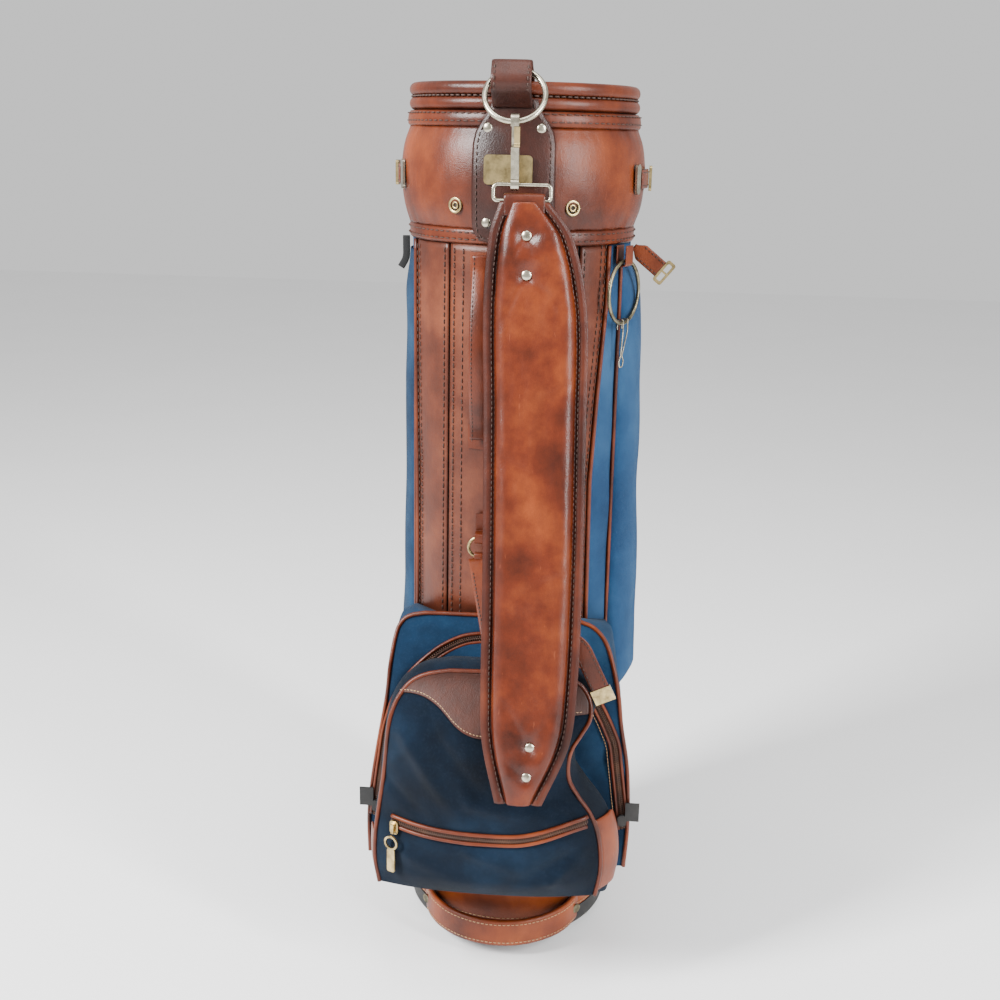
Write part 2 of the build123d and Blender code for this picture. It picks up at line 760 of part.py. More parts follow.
def garment_form(bulge, side, grow):
    """A long side pocket's form: fullest low down, tapering to nothing under the cuff."""
    with BuildPart() as form:
        with BuildSketch(Plane.XZ):
            with BuildLine():
                base = cover_radius + 1.9
                Line((base - 2, garment_low + 3 - grow), (base, garment_low + 3 - grow))
                Spline((base, garment_low + 3 - grow), (base + 0.78 * bulge + grow, garment_low + 16 - grow),
                       (base + bulge + grow, 345), (base + 0.68 * bulge + grow, 520),
                       (base + 0.3 * bulge + grow, 640), (base, garment_high + grow))
                Line((base, garment_high + grow), (base - 2, garment_high + grow))
                Line((base - 2, garment_high + grow), (base - 2, garment_low + 3 - grow))
            make_face()
        revolve(axis=Axis.Z)
        with BuildSketch(Plane.XY):
            with BuildLine():
                first = side * (66 - grow)
                last = side * (142 + grow)
                Line((0, 0), around(300, first))
                Line(around(300, first), around(420, (first + last) / 2))
                Line(around(420, (first + last) / 2), around(300, last))
                Line(around(300, last), (0, 0))
            make_face()
        extrude(amount=800, mode=Mode.INTERSECT)
    return form.part


for bulge, side, name in ((left_pocket_bulge, -1, "garment_pocket_left"),
                          (right_pocket_bulge, 1, "garment_pocket_right")):
    with BuildPart() as garment_pocket:
        add(garment_form(bulge, side, 0))
        add(garment_form(bulge - pocket_wall, side, -1.5), mode=Mode.SUBTRACT)
        add(trunk_cutter.part, mode=Mode.SUBTRACT)
        add(upper_pocket_form(piece_gap), mode=Mode.SUBTRACT)
    save(garment_pocket, name)

garment_zip_angle = 147.0
garment_zip_low = 300.0
garment_zip_high = trunk_top - 55
with BuildPart() as garment_zips:
    for side in (-1, 1):
        edges = sorted((side * (garment_zip_angle - 2.5), side * (garment_zip_angle + 2.5)))
        add(ring_sector(cover_radius + layer_gap, cover_radius + 1.6, garment_zip_low, garment_zip_high, *edges))
save(garment_zips, "garment_zips")

for side, name in ((-1, "garment_slider_left"), (1, "garment_slider_right")):
    with BuildPart() as garment_slider:
        with BuildSketch(radial_plane(cover_radius + 2.2, side * garment_zip_angle, garment_zip_high - 12)):
            RectangleRounded(8, 13, 3)
        extrude(amount=2.6)
        with BuildSketch(radial_plane(cover_radius + 4.2, side * garment_zip_angle, garment_zip_high - 30)):
            RectangleRounded(7, 32, 2)
        extrude(amount=1.8)
    save(garment_slider, name)

# ================= lower strap, its ring and its tail =================
anchor_angle = -14.0
anchor_height = 454.0
anchor_x, anchor_y = around(cover_radius, anchor_angle)
anchor_wire = 3.2
anchor_ring_y = -cover_radius - 9.5
with BuildPart() as anchor_ring:
    anchor_plane = Plane(origin=(anchor_x, anchor_ring_y, anchor_height), x_dir=(1, 0, 0), z_dir=(0, -1, 0))
    with BuildLine(anchor_plane):
        CenterArc((0, 0), 10, 0, 360)
    with BuildSketch(Plane(origin=(anchor_x + 10, anchor_ring_y, anchor_height), z_dir=(0, 0, 1))):
        Circle(anchor_wire / 2)
    sweep()
save(anchor_ring, "anchor_ring")

handle_top = trunk_top - 19
handle_bottom = trunk_top - 173
handle_x = -28.0
handle_y = -cover_radius - 7
with BuildPart() as strap_anchors:
    with BuildSketch(Plane.YZ.offset(anchor_x - 4)):
        with BuildLine() as chape_line:
            FilletPolyline((-cover_radius - 1.2, anchor_height + 32), (-cover_radius - 1.2, anchor_height + 14),
                           (anchor_ring_y - 3.6, anchor_height + 13.5), (anchor_ring_y - 3.6, anchor_height + 5.6),
                           (anchor_ring_y + 4.2, anchor_height + 5.6), radius=1.5)
        trace(chape_line.line, line_width=2)
    extrude(amount=8)
    for height in (handle_top - 12, handle_bottom - 22):
        add(ring_sector(cover_radius + layer_gap, cover_radius + 2.4, height, height + 24, -21, -9))
save(strap_anchors, "strap_anchors")

strap_width = 20.0
strap_top = (anchor_x, anchor_ring_y - 1, anchor_height - 14)
strap_low = (anchor_x + 26, pad_y(buckle_z) + 7, buckle_z - 2)
strap_run = Vector(*strap_low) - Vector(*strap_top)
with BuildPart() as lower_strap:
    with BuildSketch(Plane(origin=strap_top, x_dir=strap_run, z_dir=(0, strap_run.Z, -strap_run.Y))):
        with Locations((strap_run.length / 2, 0)):
            Rectangle(strap_run.length, strap_width)
    extrude(amount=2.4, both=False)
    with BuildSketch(Plane.YZ.offset(anchor_x - 4)):
        with BuildLine() as wrap:
            FilletPolyline((strap_top[1] - 0.5, strap_top[2] - 2), (anchor_ring_y - 3.4, anchor_height - 12),
                           (anchor_ring_y - 3.4, anchor_height - 6.2), (anchor_ring_y + 3.4, anchor_height - 6.2),
                           (anchor_ring_y + 3.2, anchor_height - 15), radius=1.5)
        trace(wrap.line, line_width=2)
    extrude(amount=8)
save(lower_strap, "lower_strap")

with BuildPart() as strap_tail:
    with BuildSketch(Plane.XZ.offset(181)):
        with BuildLine() as tail_line:
            FilletPolyline((buckle_x + 18, buckle_z + 10), (76, buckle_z + 8), (98, buckle_z - 38), radius=9)
        trace(tail_line.line, line_width=18)
    extrude(amount=2.4)
save(strap_tail, "strap_tail")
with BuildPart() as tail_tip:
    with BuildSketch(Plane.XZ.offset(180.4)):
        with BuildLine() as tip_line:
            Line((98.1, buckle_z - 38.3), (104.5, buckle_z - 51.6))
        trace(tip_line.line, line_width=20)
    extrude(amount=3.6)
save(tail_tip, "tail_tip")

# ================= carry handle =================
with BuildPart() as carry_handle:
    with BuildSketch(Plane.YZ.offset(handle_x - 9)):
        with BuildLine() as bow:
            low = handle_bottom - 10
            high = handle_top + 10
            Polyline((handle_y - 0.2, low), (handle_y - 0.2, low + 14))
            Spline((handle_y - 0.2, low + 14), (handle_y - 18, (low + high) / 2), (handle_y - 0.2, high - 14))
            Line((handle_y - 0.2, high - 14), (handle_y - 0.2, high))
        trace(bow.line, line_width=4)
    extrude(amount=18)
save(carry_handle, "carry_handle")

# ================= side fittings under the hem =================
towel_angle = 62.0
towel_radius = cover_radius + 9
towel_top = trunk_top - 6
with BuildPart() as towel_loop:
    loop_frame = radial_plane(0, towel_angle, 0)
    side_plane = Plane(origin=(0, 0, 0), x_dir=loop_frame.z_dir, z_dir=(-loop_frame.x_dir).normalized())
    with BuildSketch(side_plane.offset(-7)):
        with BuildLine() as towel_line:
            FilletPolyline((cover_radius + 2.9, towel_top + 5), (cover_radius + 2.9, towel_top - 14),
                           (towel_radius + 4, towel_top - 14), (towel_radius + 4, towel_top + 5), radius=3)
        trace(towel_line.line, line_width=2)
    extrude(amount=14)
save(towel_loop, "towel_loop")

towel_ring_top = towel_top - 14 + 1 + 1.6 + towel_ring_wire / 2
with BuildPart() as towel_ring:
    towel_plane = radial_plane(towel_radius, towel_angle, towel_ring_top - towel_ring_radius)
    with BuildLine(towel_plane):
        CenterArc((0, 0), towel_ring_radius, 90, 360)
    with BuildSketch(Plane(origin=towel_plane.from_local_coords((0, towel_ring_radius, 0)),
                           z_dir=towel_plane.x_dir)):
        Circle(towel_ring_wire / 2)
    sweep()
save(towel_ring, "towel_ring")

clip_wire = 1.4
clip_top = towel_ring_top - 2 * towel_ring_radius
clip_reach = towel_ring_wire / 2 + clip_wire / 2 + 0.7
clip_half = [(4.5, -6, -clip_reach), (4.5, clip_reach + 0.6, -clip_reach), (4.5, clip_reach + 0.6, clip_reach),
             (4.5, -8, clip_reach), (1.2, -32, 0), (4.5, -37, 0), (3, -43, 0)]
clip_plane = radial_plane(towel_radius, towel_angle, clip_top)
with BuildPart() as wire_clip:
    with BuildLine(clip_plane):
        clip_points = [(-x, y, z) for x, y, z in clip_half] + list(reversed(clip_half))
        clip_path = FilletPolyline(*clip_points, radius=1.5)
    with BuildSketch(Plane(origin=clip_path @ 0, z_dir=clip_path % 0)):
        Circle(clip_wire / 2)
    sweep()
save(wire_clip, "wire_clip")

umbrella_y = -20.0
umbrella_root = Vector(112.5, umbrella_y, trunk_top - 4.5)
umbrella_drop = 39.0
umbrella_length = 34.0
umbrella_half = 9.0
umbrella_plane = Plane(origin=umbrella_root + Vector(0, 1.2, 0),
                       x_dir=(cos(radians(umbrella_drop)), 0, -sin(radians(umbrella_drop))), z_dir=(0, -1, 0))
with BuildPart() as umbrella_strap:
    with BuildSketch(umbrella_plane):
        with BuildLine():
            Polyline((0, 2.5), (8, umbrella_half), (umbrella_length, umbrella_half),
                     (umbrella_length, -umbrella_half), (8, -umbrella_half), (0, -2.5), close=True)
        make_face()
    extrude(amount=2.4)
save(umbrella_strap, "umbrella_strap")
with BuildPart() as umbrella_buckle:
    with BuildSketch(umbrella_plane.offset(-0.6)):
        with Locations((umbrella_length + 5.5, 0)):
            RectangleRounded(10, 25, 2.5)
            RectangleRounded(5, 19, 1.5, mode=Mode.SUBTRACT)
            Rectangle(10, 2)
    extrude(amount=3.4)
save(umbrella_buckle, "umbrella_buckle")

with BuildPart() as glove_strap:
    with BuildSketch(Plane.XZ.offset(8)):
        with BuildLine():
            Polyline((-112, trunk_top - 1), (-112, trunk_top - 22), (-118, trunk_top - 33),
                     (-124, trunk_top - 30), (-120, trunk_top - 14), (-119, trunk_top - 1), close=True)
        make_face()
    extrude(amount=3)
save(glove_strap, "glove_strap")
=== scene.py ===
import bpy
from math import sin, cos, pi, radians, sqrt, atan2, hypot, exp
from mathutils import Vector, Matrix, noise


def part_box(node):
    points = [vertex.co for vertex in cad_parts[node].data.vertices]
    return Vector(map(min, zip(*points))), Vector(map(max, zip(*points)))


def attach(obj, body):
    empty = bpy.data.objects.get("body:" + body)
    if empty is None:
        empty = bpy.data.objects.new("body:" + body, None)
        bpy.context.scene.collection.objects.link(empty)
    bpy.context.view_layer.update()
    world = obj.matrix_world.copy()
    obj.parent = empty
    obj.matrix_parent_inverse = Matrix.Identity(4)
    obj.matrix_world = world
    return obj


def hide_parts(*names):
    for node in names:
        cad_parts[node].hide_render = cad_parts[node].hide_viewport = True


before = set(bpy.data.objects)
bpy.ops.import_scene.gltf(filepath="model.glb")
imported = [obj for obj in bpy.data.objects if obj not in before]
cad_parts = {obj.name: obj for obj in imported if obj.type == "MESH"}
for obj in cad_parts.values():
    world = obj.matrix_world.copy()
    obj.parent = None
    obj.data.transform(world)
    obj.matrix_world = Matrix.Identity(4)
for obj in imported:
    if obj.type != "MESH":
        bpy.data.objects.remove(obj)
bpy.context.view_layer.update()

# ---- places read from the frame, in metres ----
trunk_radius = -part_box("front_panel")[0][1]
canvas_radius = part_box("canvas_body")[1][0]
trunk_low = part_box("front_panel")[0][2]
trunk_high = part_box("front_panel")[1][2]
cuff_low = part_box("cuff_body")[0][2]
cuff_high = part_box("cuff_body")[1][2]
cuff_bulge_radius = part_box("cuff_body")[1][0]
rim_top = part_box("rim_beads")[1][2]
rim_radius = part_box("rim_beads")[1][0]
pad_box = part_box("pad_backing")


# ================= materials =================
def new_material(name, roughness, metallic=0.0):
    """An empty procedural material: its node tree, its shader and an Object coordinate."""
    material = bpy.data.materials.new(name)
    material.use_nodes = True
    tree = material.node_tree
    shader = tree.nodes["Principled BSDF"]
    shader.inputs["Roughness"].default_value = roughness
    shader.inputs["Metallic"].default_value = metallic
    coords = tree.nodes.new("ShaderNodeTexCoord")
    return material, tree, shader, coords.outputs["Object"]


def noise_node(tree, vector, scale, detail=4.0, rough=0.55, stretch=None):
    if stretch:
        mapping = tree.nodes.new("ShaderNodeMapping")
        mapping.inputs["Scale"].default_value = stretch
        tree.links.new(vector, mapping.inputs["Vector"])
        vector = mapping.outputs["Vector"]
    node = tree.nodes.new("ShaderNodeTexNoise")
    node.inputs["Scale"].default_value = scale
    node.inputs["Detail"].default_value = detail
    node.inputs["Roughness"].default_value = rough
    tree.links.new(vector, node.inputs["Vector"])
    return node.outputs["Fac"]


def ramp_node(tree, factor, *stops):
    """A colour ramp with (place, (r, g, b)) stops."""
    ramp = tree.nodes.new("ShaderNodeValToRGB")
    elements = ramp.color_ramp.elements
    while len(elements) < len(stops):
        elements.new(0.5)
    for element, (place, colour) in zip(elements, stops):
        element.position = place
        element.color = (*colour, 1.0)
    tree.links.new(factor, ramp.inputs["Fac"])
    return ramp.outputs["Color"]


def math_node(tree, operation, first, second=None, clamp=False):
    node = tree.nodes.new("ShaderNodeMath")
    node.operation = operation
    node.use_clamp = clamp
    for socket, value in zip(node.inputs, (first, second)):
        if value is None:
            continue
        if isinstance(value, (int, float)):
            socket.default_value = value
        else:
            tree.links.new(value, socket)
    return node.outputs[0]


def mix_colours(tree, factor, first, second, blend="MIX"):
    node = tree.nodes.new("ShaderNodeMix")
    node.data_type = "RGBA"
    node.blend_type = blend
    for socket, value in ((node.inputs[0], factor), (node.inputs[6], first), (node.inputs[7], second)):
        if isinstance(value, (int, float)):
            socket.default_value = value
        elif isinstance(value, tuple):
            socket.default_value = (*value, 1.0)
        else:
            tree.links.new(value, socket)
    return node.outputs[2]


def bump_node(tree, height, strength, distance, normal=None):
    node = tree.nodes.new("ShaderNodeBump")
    node.inputs["Strength"].default_value = strength
    node.inputs["Distance"].default_value = distance
    tree.links.new(height, node.inputs["Height"])
    if normal is not None:
        tree.links.new(normal, node.inputs["Normal"])
    return node.outputs["Normal"]


def range_node(tree, value, low, high):
    node = tree.nodes.new("ShaderNodeMapRange")
    node.inputs["To Min"].default_value = low
    node.inputs["To Max"].default_value = high
    tree.links.new(value, node.inputs["Value"])
    return node.outputs[0]


def shade_creases(tree, colour, reach, depth):
    """Painted shade: darken a colour where other surfaces crowd close, in seams and under straps, where shade falls."""
    nearby = tree.nodes.new("ShaderNodeAmbientOcclusion")
    nearby.samples = 6
    nearby.inputs["Distance"].default_value = reach
    # painted shade: an ambient-occlusion ramp multiplies the colour darker near other surfaces
    crease_shade = ramp_node(tree, nearby.outputs["AO"], (0.25, (depth, depth, depth)), (0.85, (1, 1, 1)))
    return mix_colours(tree, 1.0, colour, crease_shade, "MULTIPLY")


def leather(name, dark, mid, light, shine=0.36, grain=0.22, scuff=0.5):
    """Pebbled, waxed leather: cloudy colour, fine grain, long creases and pale scuffs."""
    material, tree, shader, place = new_material(name, shine)
    clouds = noise_node(tree, place, 14.0, 6.0, 0.6)
    colour = ramp_node(tree, clouds, (0.3, dark), (0.5, mid), (0.72, light))
    streaks = noise_node(tree, place, 40.0, 5.0, 0.65, stretch=(1.0, 1.0, 0.35))
    streak_mask = ramp_node(tree, streaks, (0.4, (0, 0, 0)), (0.75, (1, 1, 1)))
    colour = mix_colours(tree, math_node(tree, "MULTIPLY", streak_mask, 0.35), colour, dark)
    scratches = noise_node(tree, place, 120.0, 3.0, 0.8, stretch=(1.0, 1.0, 0.12))
    scratch_mask = math_node(tree, "GREATER_THAN", scratches, 0.69)
    pale = tuple(min(1.0, c * 1.5 + 0.03) for c in light)
    colour = mix_colours(tree, math_node(tree, "MULTIPLY", scratch_mask, 0.35 * scuff), colour, pale)
    # painted shade: the leather colour is darkened where other surfaces crowd close
    colour = shade_creases(tree, colour, 0.02, 0.3)
    tree.links.new(colour, shader.inputs["Base Color"])
    tree.links.new(range_node(tree, clouds, shine - 0.06, shine + 0.12), shader.inputs["Roughness"])
    pebbles = tree.nodes.new("ShaderNodeTexVoronoi")
    pebbles.inputs["Scale"].default_value = 900.0
    tree.links.new(place, pebbles.inputs["Vector"])
    normal = bump_node(tree, pebbles.outputs["Distance"], grain, 0.0004)
    wrinkles = noise_node(tree, place, 160.0, 4.0, 0.6, stretch=(1.0, 1.0, 0.5))
    normal = bump_node(tree, wrinkles, 0.25, 0.0012, normal)
    tree.links.new(normal, shader.inputs["Normal"])
    shader.inputs["Specular IOR Level"].default_value = 0.3
    return material


def canvas(name, dark, mid, light, thread=0.0011, wear=0.5):
    """Plain-woven cotton canvas: a fine two-way weave, faded patches and faint lint."""
    material, tree, shader, place = new_material(name, 0.88)
    axes = tree.nodes.new("ShaderNodeSeparateXYZ")
    tree.links.new(place, axes.inputs["Vector"])
    across = math_node(tree, "ADD", axes.outputs["X"], math_node(tree, "MULTIPLY", axes.outputs["Y"], 0.8))
    warp = math_node(tree, "SINE", math_node(tree, "MULTIPLY", across, 2 * pi / thread))
    weft = math_node(tree, "SINE", math_node(tree, "MULTIPLY", axes.outputs["Z"], 2 * pi / thread))
    weave = math_node(tree, "MULTIPLY", warp, weft)
    patches = noise_node(tree, place, 9.0, 6.0, 0.62)
    colour = ramp_node(tree, patches, (0.3, dark), (0.5, mid), (0.74, light))
    lint = noise_node(tree, place, 420.0, 4.0, 0.75)
    lint_mask = ramp_node(tree, lint, (0.52, (0, 0, 0)), (0.8, (1, 1, 1)))
    pale = tuple(min(1.0, c * 1.7 + 0.05) for c in light)
    colour = mix_colours(tree, math_node(tree, "MULTIPLY", lint_mask, wear), colour, pale)
    threads = range_node(tree, weave, 0.0, 0.35)
    colour = mix_colours(tree, threads, colour, dark)
    # painted shade: the canvas colour is darkened where other surfaces crowd close
    colour = shade_creases(tree, colour, 0.04, 0.35)
    tree.links.new(colour, shader.inputs["Base Color"])
    normal = bump_node(tree, weave, 0.55, 0.0004)
    folds = noise_node(tree, place, 30.0, 4.0, 0.6)
    normal = bump_node(tree, folds, 0.2, 0.004, normal)
    tree.links.new(normal, shader.inputs["Normal"])
    shader.inputs["Specular IOR Level"].default_value = 0.08
    shader.inputs["Sheen Weight"].default_value = 0.04
    shader.inputs["Sheen Roughness"].default_value = 0.5
    return material


def metal(name, dark, light, shine=0.28):
    """Aged plated metal: dull patches, tarnish and fine scratches."""
    material, tree, shader, place = new_material(name, shine, 1.0)
    tarnish = noise_node(tree, place, 90.0, 6.0, 0.65)
    colour = ramp_node(tree, tarnish, (0.32, dark), (0.58, light))
    tree.links.new(colour, shader.inputs["Base Color"])
    tree.links.new(range_node(tree, tarnish, shine + 0.16, shine - 0.08), shader.inputs["Roughness"])
    scratches = noise_node(tree, place, 700.0, 3.0, 0.7, stretch=(1.0, 1.0, 0.2))
    tree.links.new(bump_node(tree, scratches, 0.12, 0.0003), shader.inputs["Normal"])
    return material


def moulded(name, dark, light, roughness=0.6):
    """Moulded plastic or rubber with a fine stipple and dusty scuffs."""
    material, tree, shader, place = new_material(name, roughness)
    dust = noise_node(tree, place, 35.0, 6.0, 0.7)
    tree.links.new(ramp_node(tree, dust, (0.45, dark), (0.8, light)), shader.inputs["Base Color"])
    tree.links.new(range_node(tree, dust, roughness - 0.1, roughness + 0.15), shader.inputs["Roughness"])
    stipple = noise_node(tree, place, 1100.0, 2.0, 0.5)
    tree.links.new(bump_node(tree, stipple, 0.3, 0.0004), shader.inputs["Normal"])
    return material


def thread(name, dark, light):
    """Twisted waxed thread."""
    material, tree, shader, place = new_material(name, 0.6)
    twist = noise_node(tree, place, 1500.0, 2.0, 0.5)
    tree.links.new(ramp_node(tree, twist, (0.35, dark), (0.65, light)), shader.inputs["Base Color"])
    tree.links.new(bump_node(tree, twist, 0.4, 0.0002), shader.inputs["Normal"])
    return material


saddle = leather("saddle_leather", (0.026, 0.0042, 0.0011), (0.092, 0.0145, 0.0026), (0.18, 0.034, 0.006))
saddle_pad = leather("pad_leather", (0.016, 0.0026, 0.0009), (0.085, 0.0125, 0.0026), (0.185, 0.036, 0.0065), 0.31)
mahogany = leather("mahogany_leather", (0.01, 0.0028, 0.0018), (0.032, 0.0075, 0.004), (0.07, 0.017, 0.008), 0.36, 0.3)
flange_leather = leather("edge_leather", (0.014, 0.0025, 0.001), (0.045, 0.0072, 0.0022), (0.1, 0.019, 0.005), 0.34)
panel_leather = leather("panel_leather", (0.032, 0.0065, 0.0024), (0.08, 0.0165, 0.0058), (0.16, 0.041, 0.015), 0.38)
tan = leather("tan_leather", (0.055, 0.009, 0.002), (0.15, 0.027, 0.0048), (0.25, 0.054, 0.01), 0.38, 0.3)
yoke_leather = leather("yoke_leather", (0.014, 0.003, 0.001), (0.036, 0.0065, 0.0018), (0.07, 0.013, 0.0035), 0.5, 0.35)
body_canvas = canvas("blue_canvas", (0.006, 0.026, 0.07), (0.015, 0.054, 0.125), (0.034, 0.095, 0.19), wear=0.12)
navy_canvas = canvas("navy_canvas", (0.0008, 0.0024, 0.0055), (0.002, 0.0065, 0.015), (0.006, 0.019, 0.04), wear=0.1)
pocket_canvas = canvas("pocket_canvas", (0.002, 0.0095, 0.024), (0.0065, 0.026, 0.06), (0.018, 0.056, 0.112), wear=0.12)
brass = metal("aged_brass", (0.2, 0.15, 0.07), (0.55, 0.42, 0.2))
nickel = metal("worn_nickel", (0.2, 0.18, 0.13), (0.5, 0.46, 0.36), 0.24)
antique = metal("antique_brass", (0.06, 0.05, 0.03), (0.25, 0.22, 0.14), 0.34)
black_mould = moulded("black_mould", (0.006, 0.006, 0.006), (0.035, 0.033, 0.03))
# painted shadow: a dark fill put where there is only shade, behind the panel gaps and in the stud holes
shadow_fill = moulded("painted_shadow_fill", (0.012, 0.006, 0.004), (0.025, 0.012, 0.008), 0.8)
webbing_black = moulded("black_webbing", (0.003, 0.003, 0.003), (0.01, 0.01, 0.011), 0.85)
lining = moulded("dark_lining", (0.02, 0.018, 0.018), (0.05, 0.045, 0.045), 0.75)
coil_brown = moulded("brown_coil", (0.05, 0.018, 0.008), (0.16, 0.07, 0.035), 0.45)
zip_tape = moulded("brown_zip_tape", (0.03, 0.011, 0.006), (0.08, 0.032, 0.016), 0.8)
dark_thread = thread("dark_thread", (0.02, 0.008, 0.005), (0.06, 0.025, 0.015))
tan_thread = thread("tan_thread", (0.28, 0.15, 0.07), (0.5, 0.3, 0.15))


# ================= mesh helpers =================
def make_piece(name, verts, faces, material, body, slot, nodes=(), smooth=True, more_materials=()):
    """A mesh piece in the shared frame, riding on a body, with a finish and the nodes it stands for."""
    mesh = bpy.data.meshes.new(name)
    mesh.from_pydata([tuple(v) for v in verts], [], faces)
    mesh.validate()
    mesh.update()
    for face in mesh.polygons:
        face.use_smooth = smooth
    mesh.materials.append(material)
    for extra in more_materials:
        mesh.materials.append(extra)
    piece = bpy.data.objects.new(name, mesh)
    bpy.context.scene.collection.objects.link(piece)
    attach(piece, body)
    if nodes:
        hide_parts(*nodes)
    return piece


def join_meshes(parts):
    """One list of vertices and one of faces from several."""
    verts, faces = [], []
    for part_verts, part_faces in parts:
        start = len(verts)
        verts += part_verts
        faces += [tuple(start + i for i in face) for face in part_faces]
    return verts, faces


def slab(surface, nu, nv, thickness, closed=False):
    """A closed skin over surface(u, v), which returns a point and its outward normal."""
    columns = nu if closed else nu + 1
    outer, inner = [], []
    for i in range(columns):
        for j in range(nv + 1):
            point, normal = surface(i / nu, j / nv)
            outer.append(Vector(point))
            inner.append(Vector(point) - Vector(normal).normalized() * thickness)
    verts = outer + inner
    offset = len(outer)

    def at(i, j):
        return (i % columns) * (nv + 1) + j

    faces = []
    for i in range(nu):
        for j in range(nv):
            faces.append((at(i, j), at(i + 1, j), at(i + 1, j + 1), at(i, j + 1)))
            faces.append((offset + at(i, j), offset + at(i, j + 1), offset + at(i + 1, j + 1), offset + at(i + 1, j)))
        for j in (0, nv):
            edge = (at(i, j), at(i + 1, j), offset + at(i + 1, j), offset + at(i, j))
            faces.append(edge if j else edge[::-1])
    if not closed:
        for j in range(nv):
            faces.append((at(0, j), at(0, j + 1), offset + at(0, j + 1), offset + at(0, j)))
            faces.append((at(nu, j + 1), at(nu, j), offset + at(nu, j), offset + at(nu, j + 1)))
    return verts, faces


def skin_rings(rings, sides, closed=False, caps=True):
    """Faces between rings of vertices laid one after another."""
    faces, total = [], rings * sides
    for k in range(rings if closed else rings - 1):
        for s in range(sides):
            a, b = k * sides + s, k * sides + (s + 1) % sides
            faces.append((a, b, (b + sides) % total, (a + sides) % total))
    if caps:
        faces.append(tuple(range(sides))[::-1])
        faces.append(tuple(range(total - sides, total)))
    return faces


def tube(path, radius, sides=10, closed=False):
    """A round tube along a list of points."""
    points = [Vector(p) for p in path]
    count = len(points)
    verts = []
    side = None
    for k, point in enumerate(points):
        before = points[k - 1] if k or closed else point
        after = points[(k + 1) % count] if k < count - 1 or closed else point
        along = (after - before).normalized()
        if side is None:
            reference = Vector((0, 0, 1)) if abs(along.z) < 0.9 else Vector((0, 1, 0))
            side = along.cross(reference).normalized()
        else:
            side = (side - along * side.dot(along)).normalized()
        over = along.cross(side)
        for s in range(sides):
            angle = 2 * pi * s / sides
            verts.append(point + (side * cos(angle) + over * sin(angle)) * radius)
    return verts, skin_rings(count, sides, closed, caps=not closed)


def resample(path, step):
    """Points and tangents at even steps along a path."""
    points = [Vector(p) for p in path]
    result, carry = [], 0.0
    for a, b in zip(points, points[1:]):
        length = (b - a).length
        along = (b - a).normalized() if length else Vector((0, 0, 1))
        place = carry
        while place < length:
            result.append((a + along * place, along))
            place += step
        carry = place - length
    return result


def stitch_row(path, normal_at, pitch=0.0052, length=0.0036, radius=0.00045):
    """A row of raised stitches along a path; normal_at(point) is the surface's outward normal."""
    parts = []
    for point, along in resample(path, pitch):
        normal = Vector(normal_at(point)).normalized()
        half = along * length / 2
        lift = normal * radius * 0.9
        sunk = -normal * radius * 1.6
        arc = [point - half + sunk, point - half * 0.6 + lift, point + half * 0.6 + lift, point + half + sunk]
        parts.append(tube(arc, radius, 5))
    return join_meshes(parts) if parts else ([], [])


def sew(name, rows, finish, body, slot):
    """Stitch rows joined into one piece."""
    make_piece(name, *join_meshes(rows), finish, body, slot)


def radial(point):
    """Straight out from the bag's axis."""
    return Vector((point[0], point[1], 0.0)).normalized()


def around(radius, angle, height):
    """The point at a radius, an angle in degrees from the front, and a height."""
    return Vector((radius * sin(radians(angle)), -radius * cos(radians(angle)), height))


def smooth_step(low, high, value):
    t = min(1.0, max(0.0, (value - low) / (high - low)))
    return t * t * (3 - 2 * t)


def between(table, value):
    """Smooth interpolation in a short list of (value, result) pairs."""
    if value <= table[0][0]:
        return table[0][1]
    for (a, fa), (b, fb) in zip(table, table[1:]):
        if value <= b:
            return fa + (fb - fa) * (value - a) / (b - a)
    return table[-1][1]


def ripple(x, y, z, scale, seed=0.0):
    """Smooth seeded noise for soft unevenness, from -1 to 1."""
    return noise.noise(Vector((x * scale + seed, y * scale - seed, z * scale + 2 * seed)))


# ================= camera, lights and floor =================
def add_camera():
    """The photo's view: slightly above, a little to the right, with a small roll."""
    distance, height = 1.293, 0.845
    swing, pitch, roll = radians(4.4), radians(16.2), radians(1.3)
    forward = Vector((-sin(swing) * cos(pitch), cos(swing) * cos(pitch), -sin(pitch)))
    right = Vector((cos(swing), sin(swing), 0))
    up = right.cross(forward)
    tilted_right = right * cos(roll) + up * sin(roll)
    tilted_up = -right * sin(roll) + up * cos(roll)
    data = bpy.data.cameras.new("camera")
    data.sensor_width = 36
    data.lens = 45.47
    data.shift_x = -0.016
    data.clip_start = 0.01
    camera = bpy.data.objects.new("camera", data)
    bpy.context.scene.collection.objects.link(camera)
    turn = Matrix((tilted_right, tilted_up, -forward)).transposed().to_4x4()
    camera.matrix_world = Matrix.Translation((distance * sin(swing), -distance * cos(swing), height)) @ turn
    bpy.context.scene.camera = camera


def add_light(name, place, target, size, power):
    data = bpy.data.lights.new(name, "AREA")
    data.shape = "RECTANGLE"
    data.size, data.size_y = size
    data.energy = power
    light = bpy.data.objects.new(name, data)
    bpy.context.scene.collection.objects.link(light)
    aim = (Vector(target) - Vector(place)).to_track_quat("-Z", "Y")
    light.matrix_world = Matrix.Translation(place) @ aim.to_matrix().to_4x4()


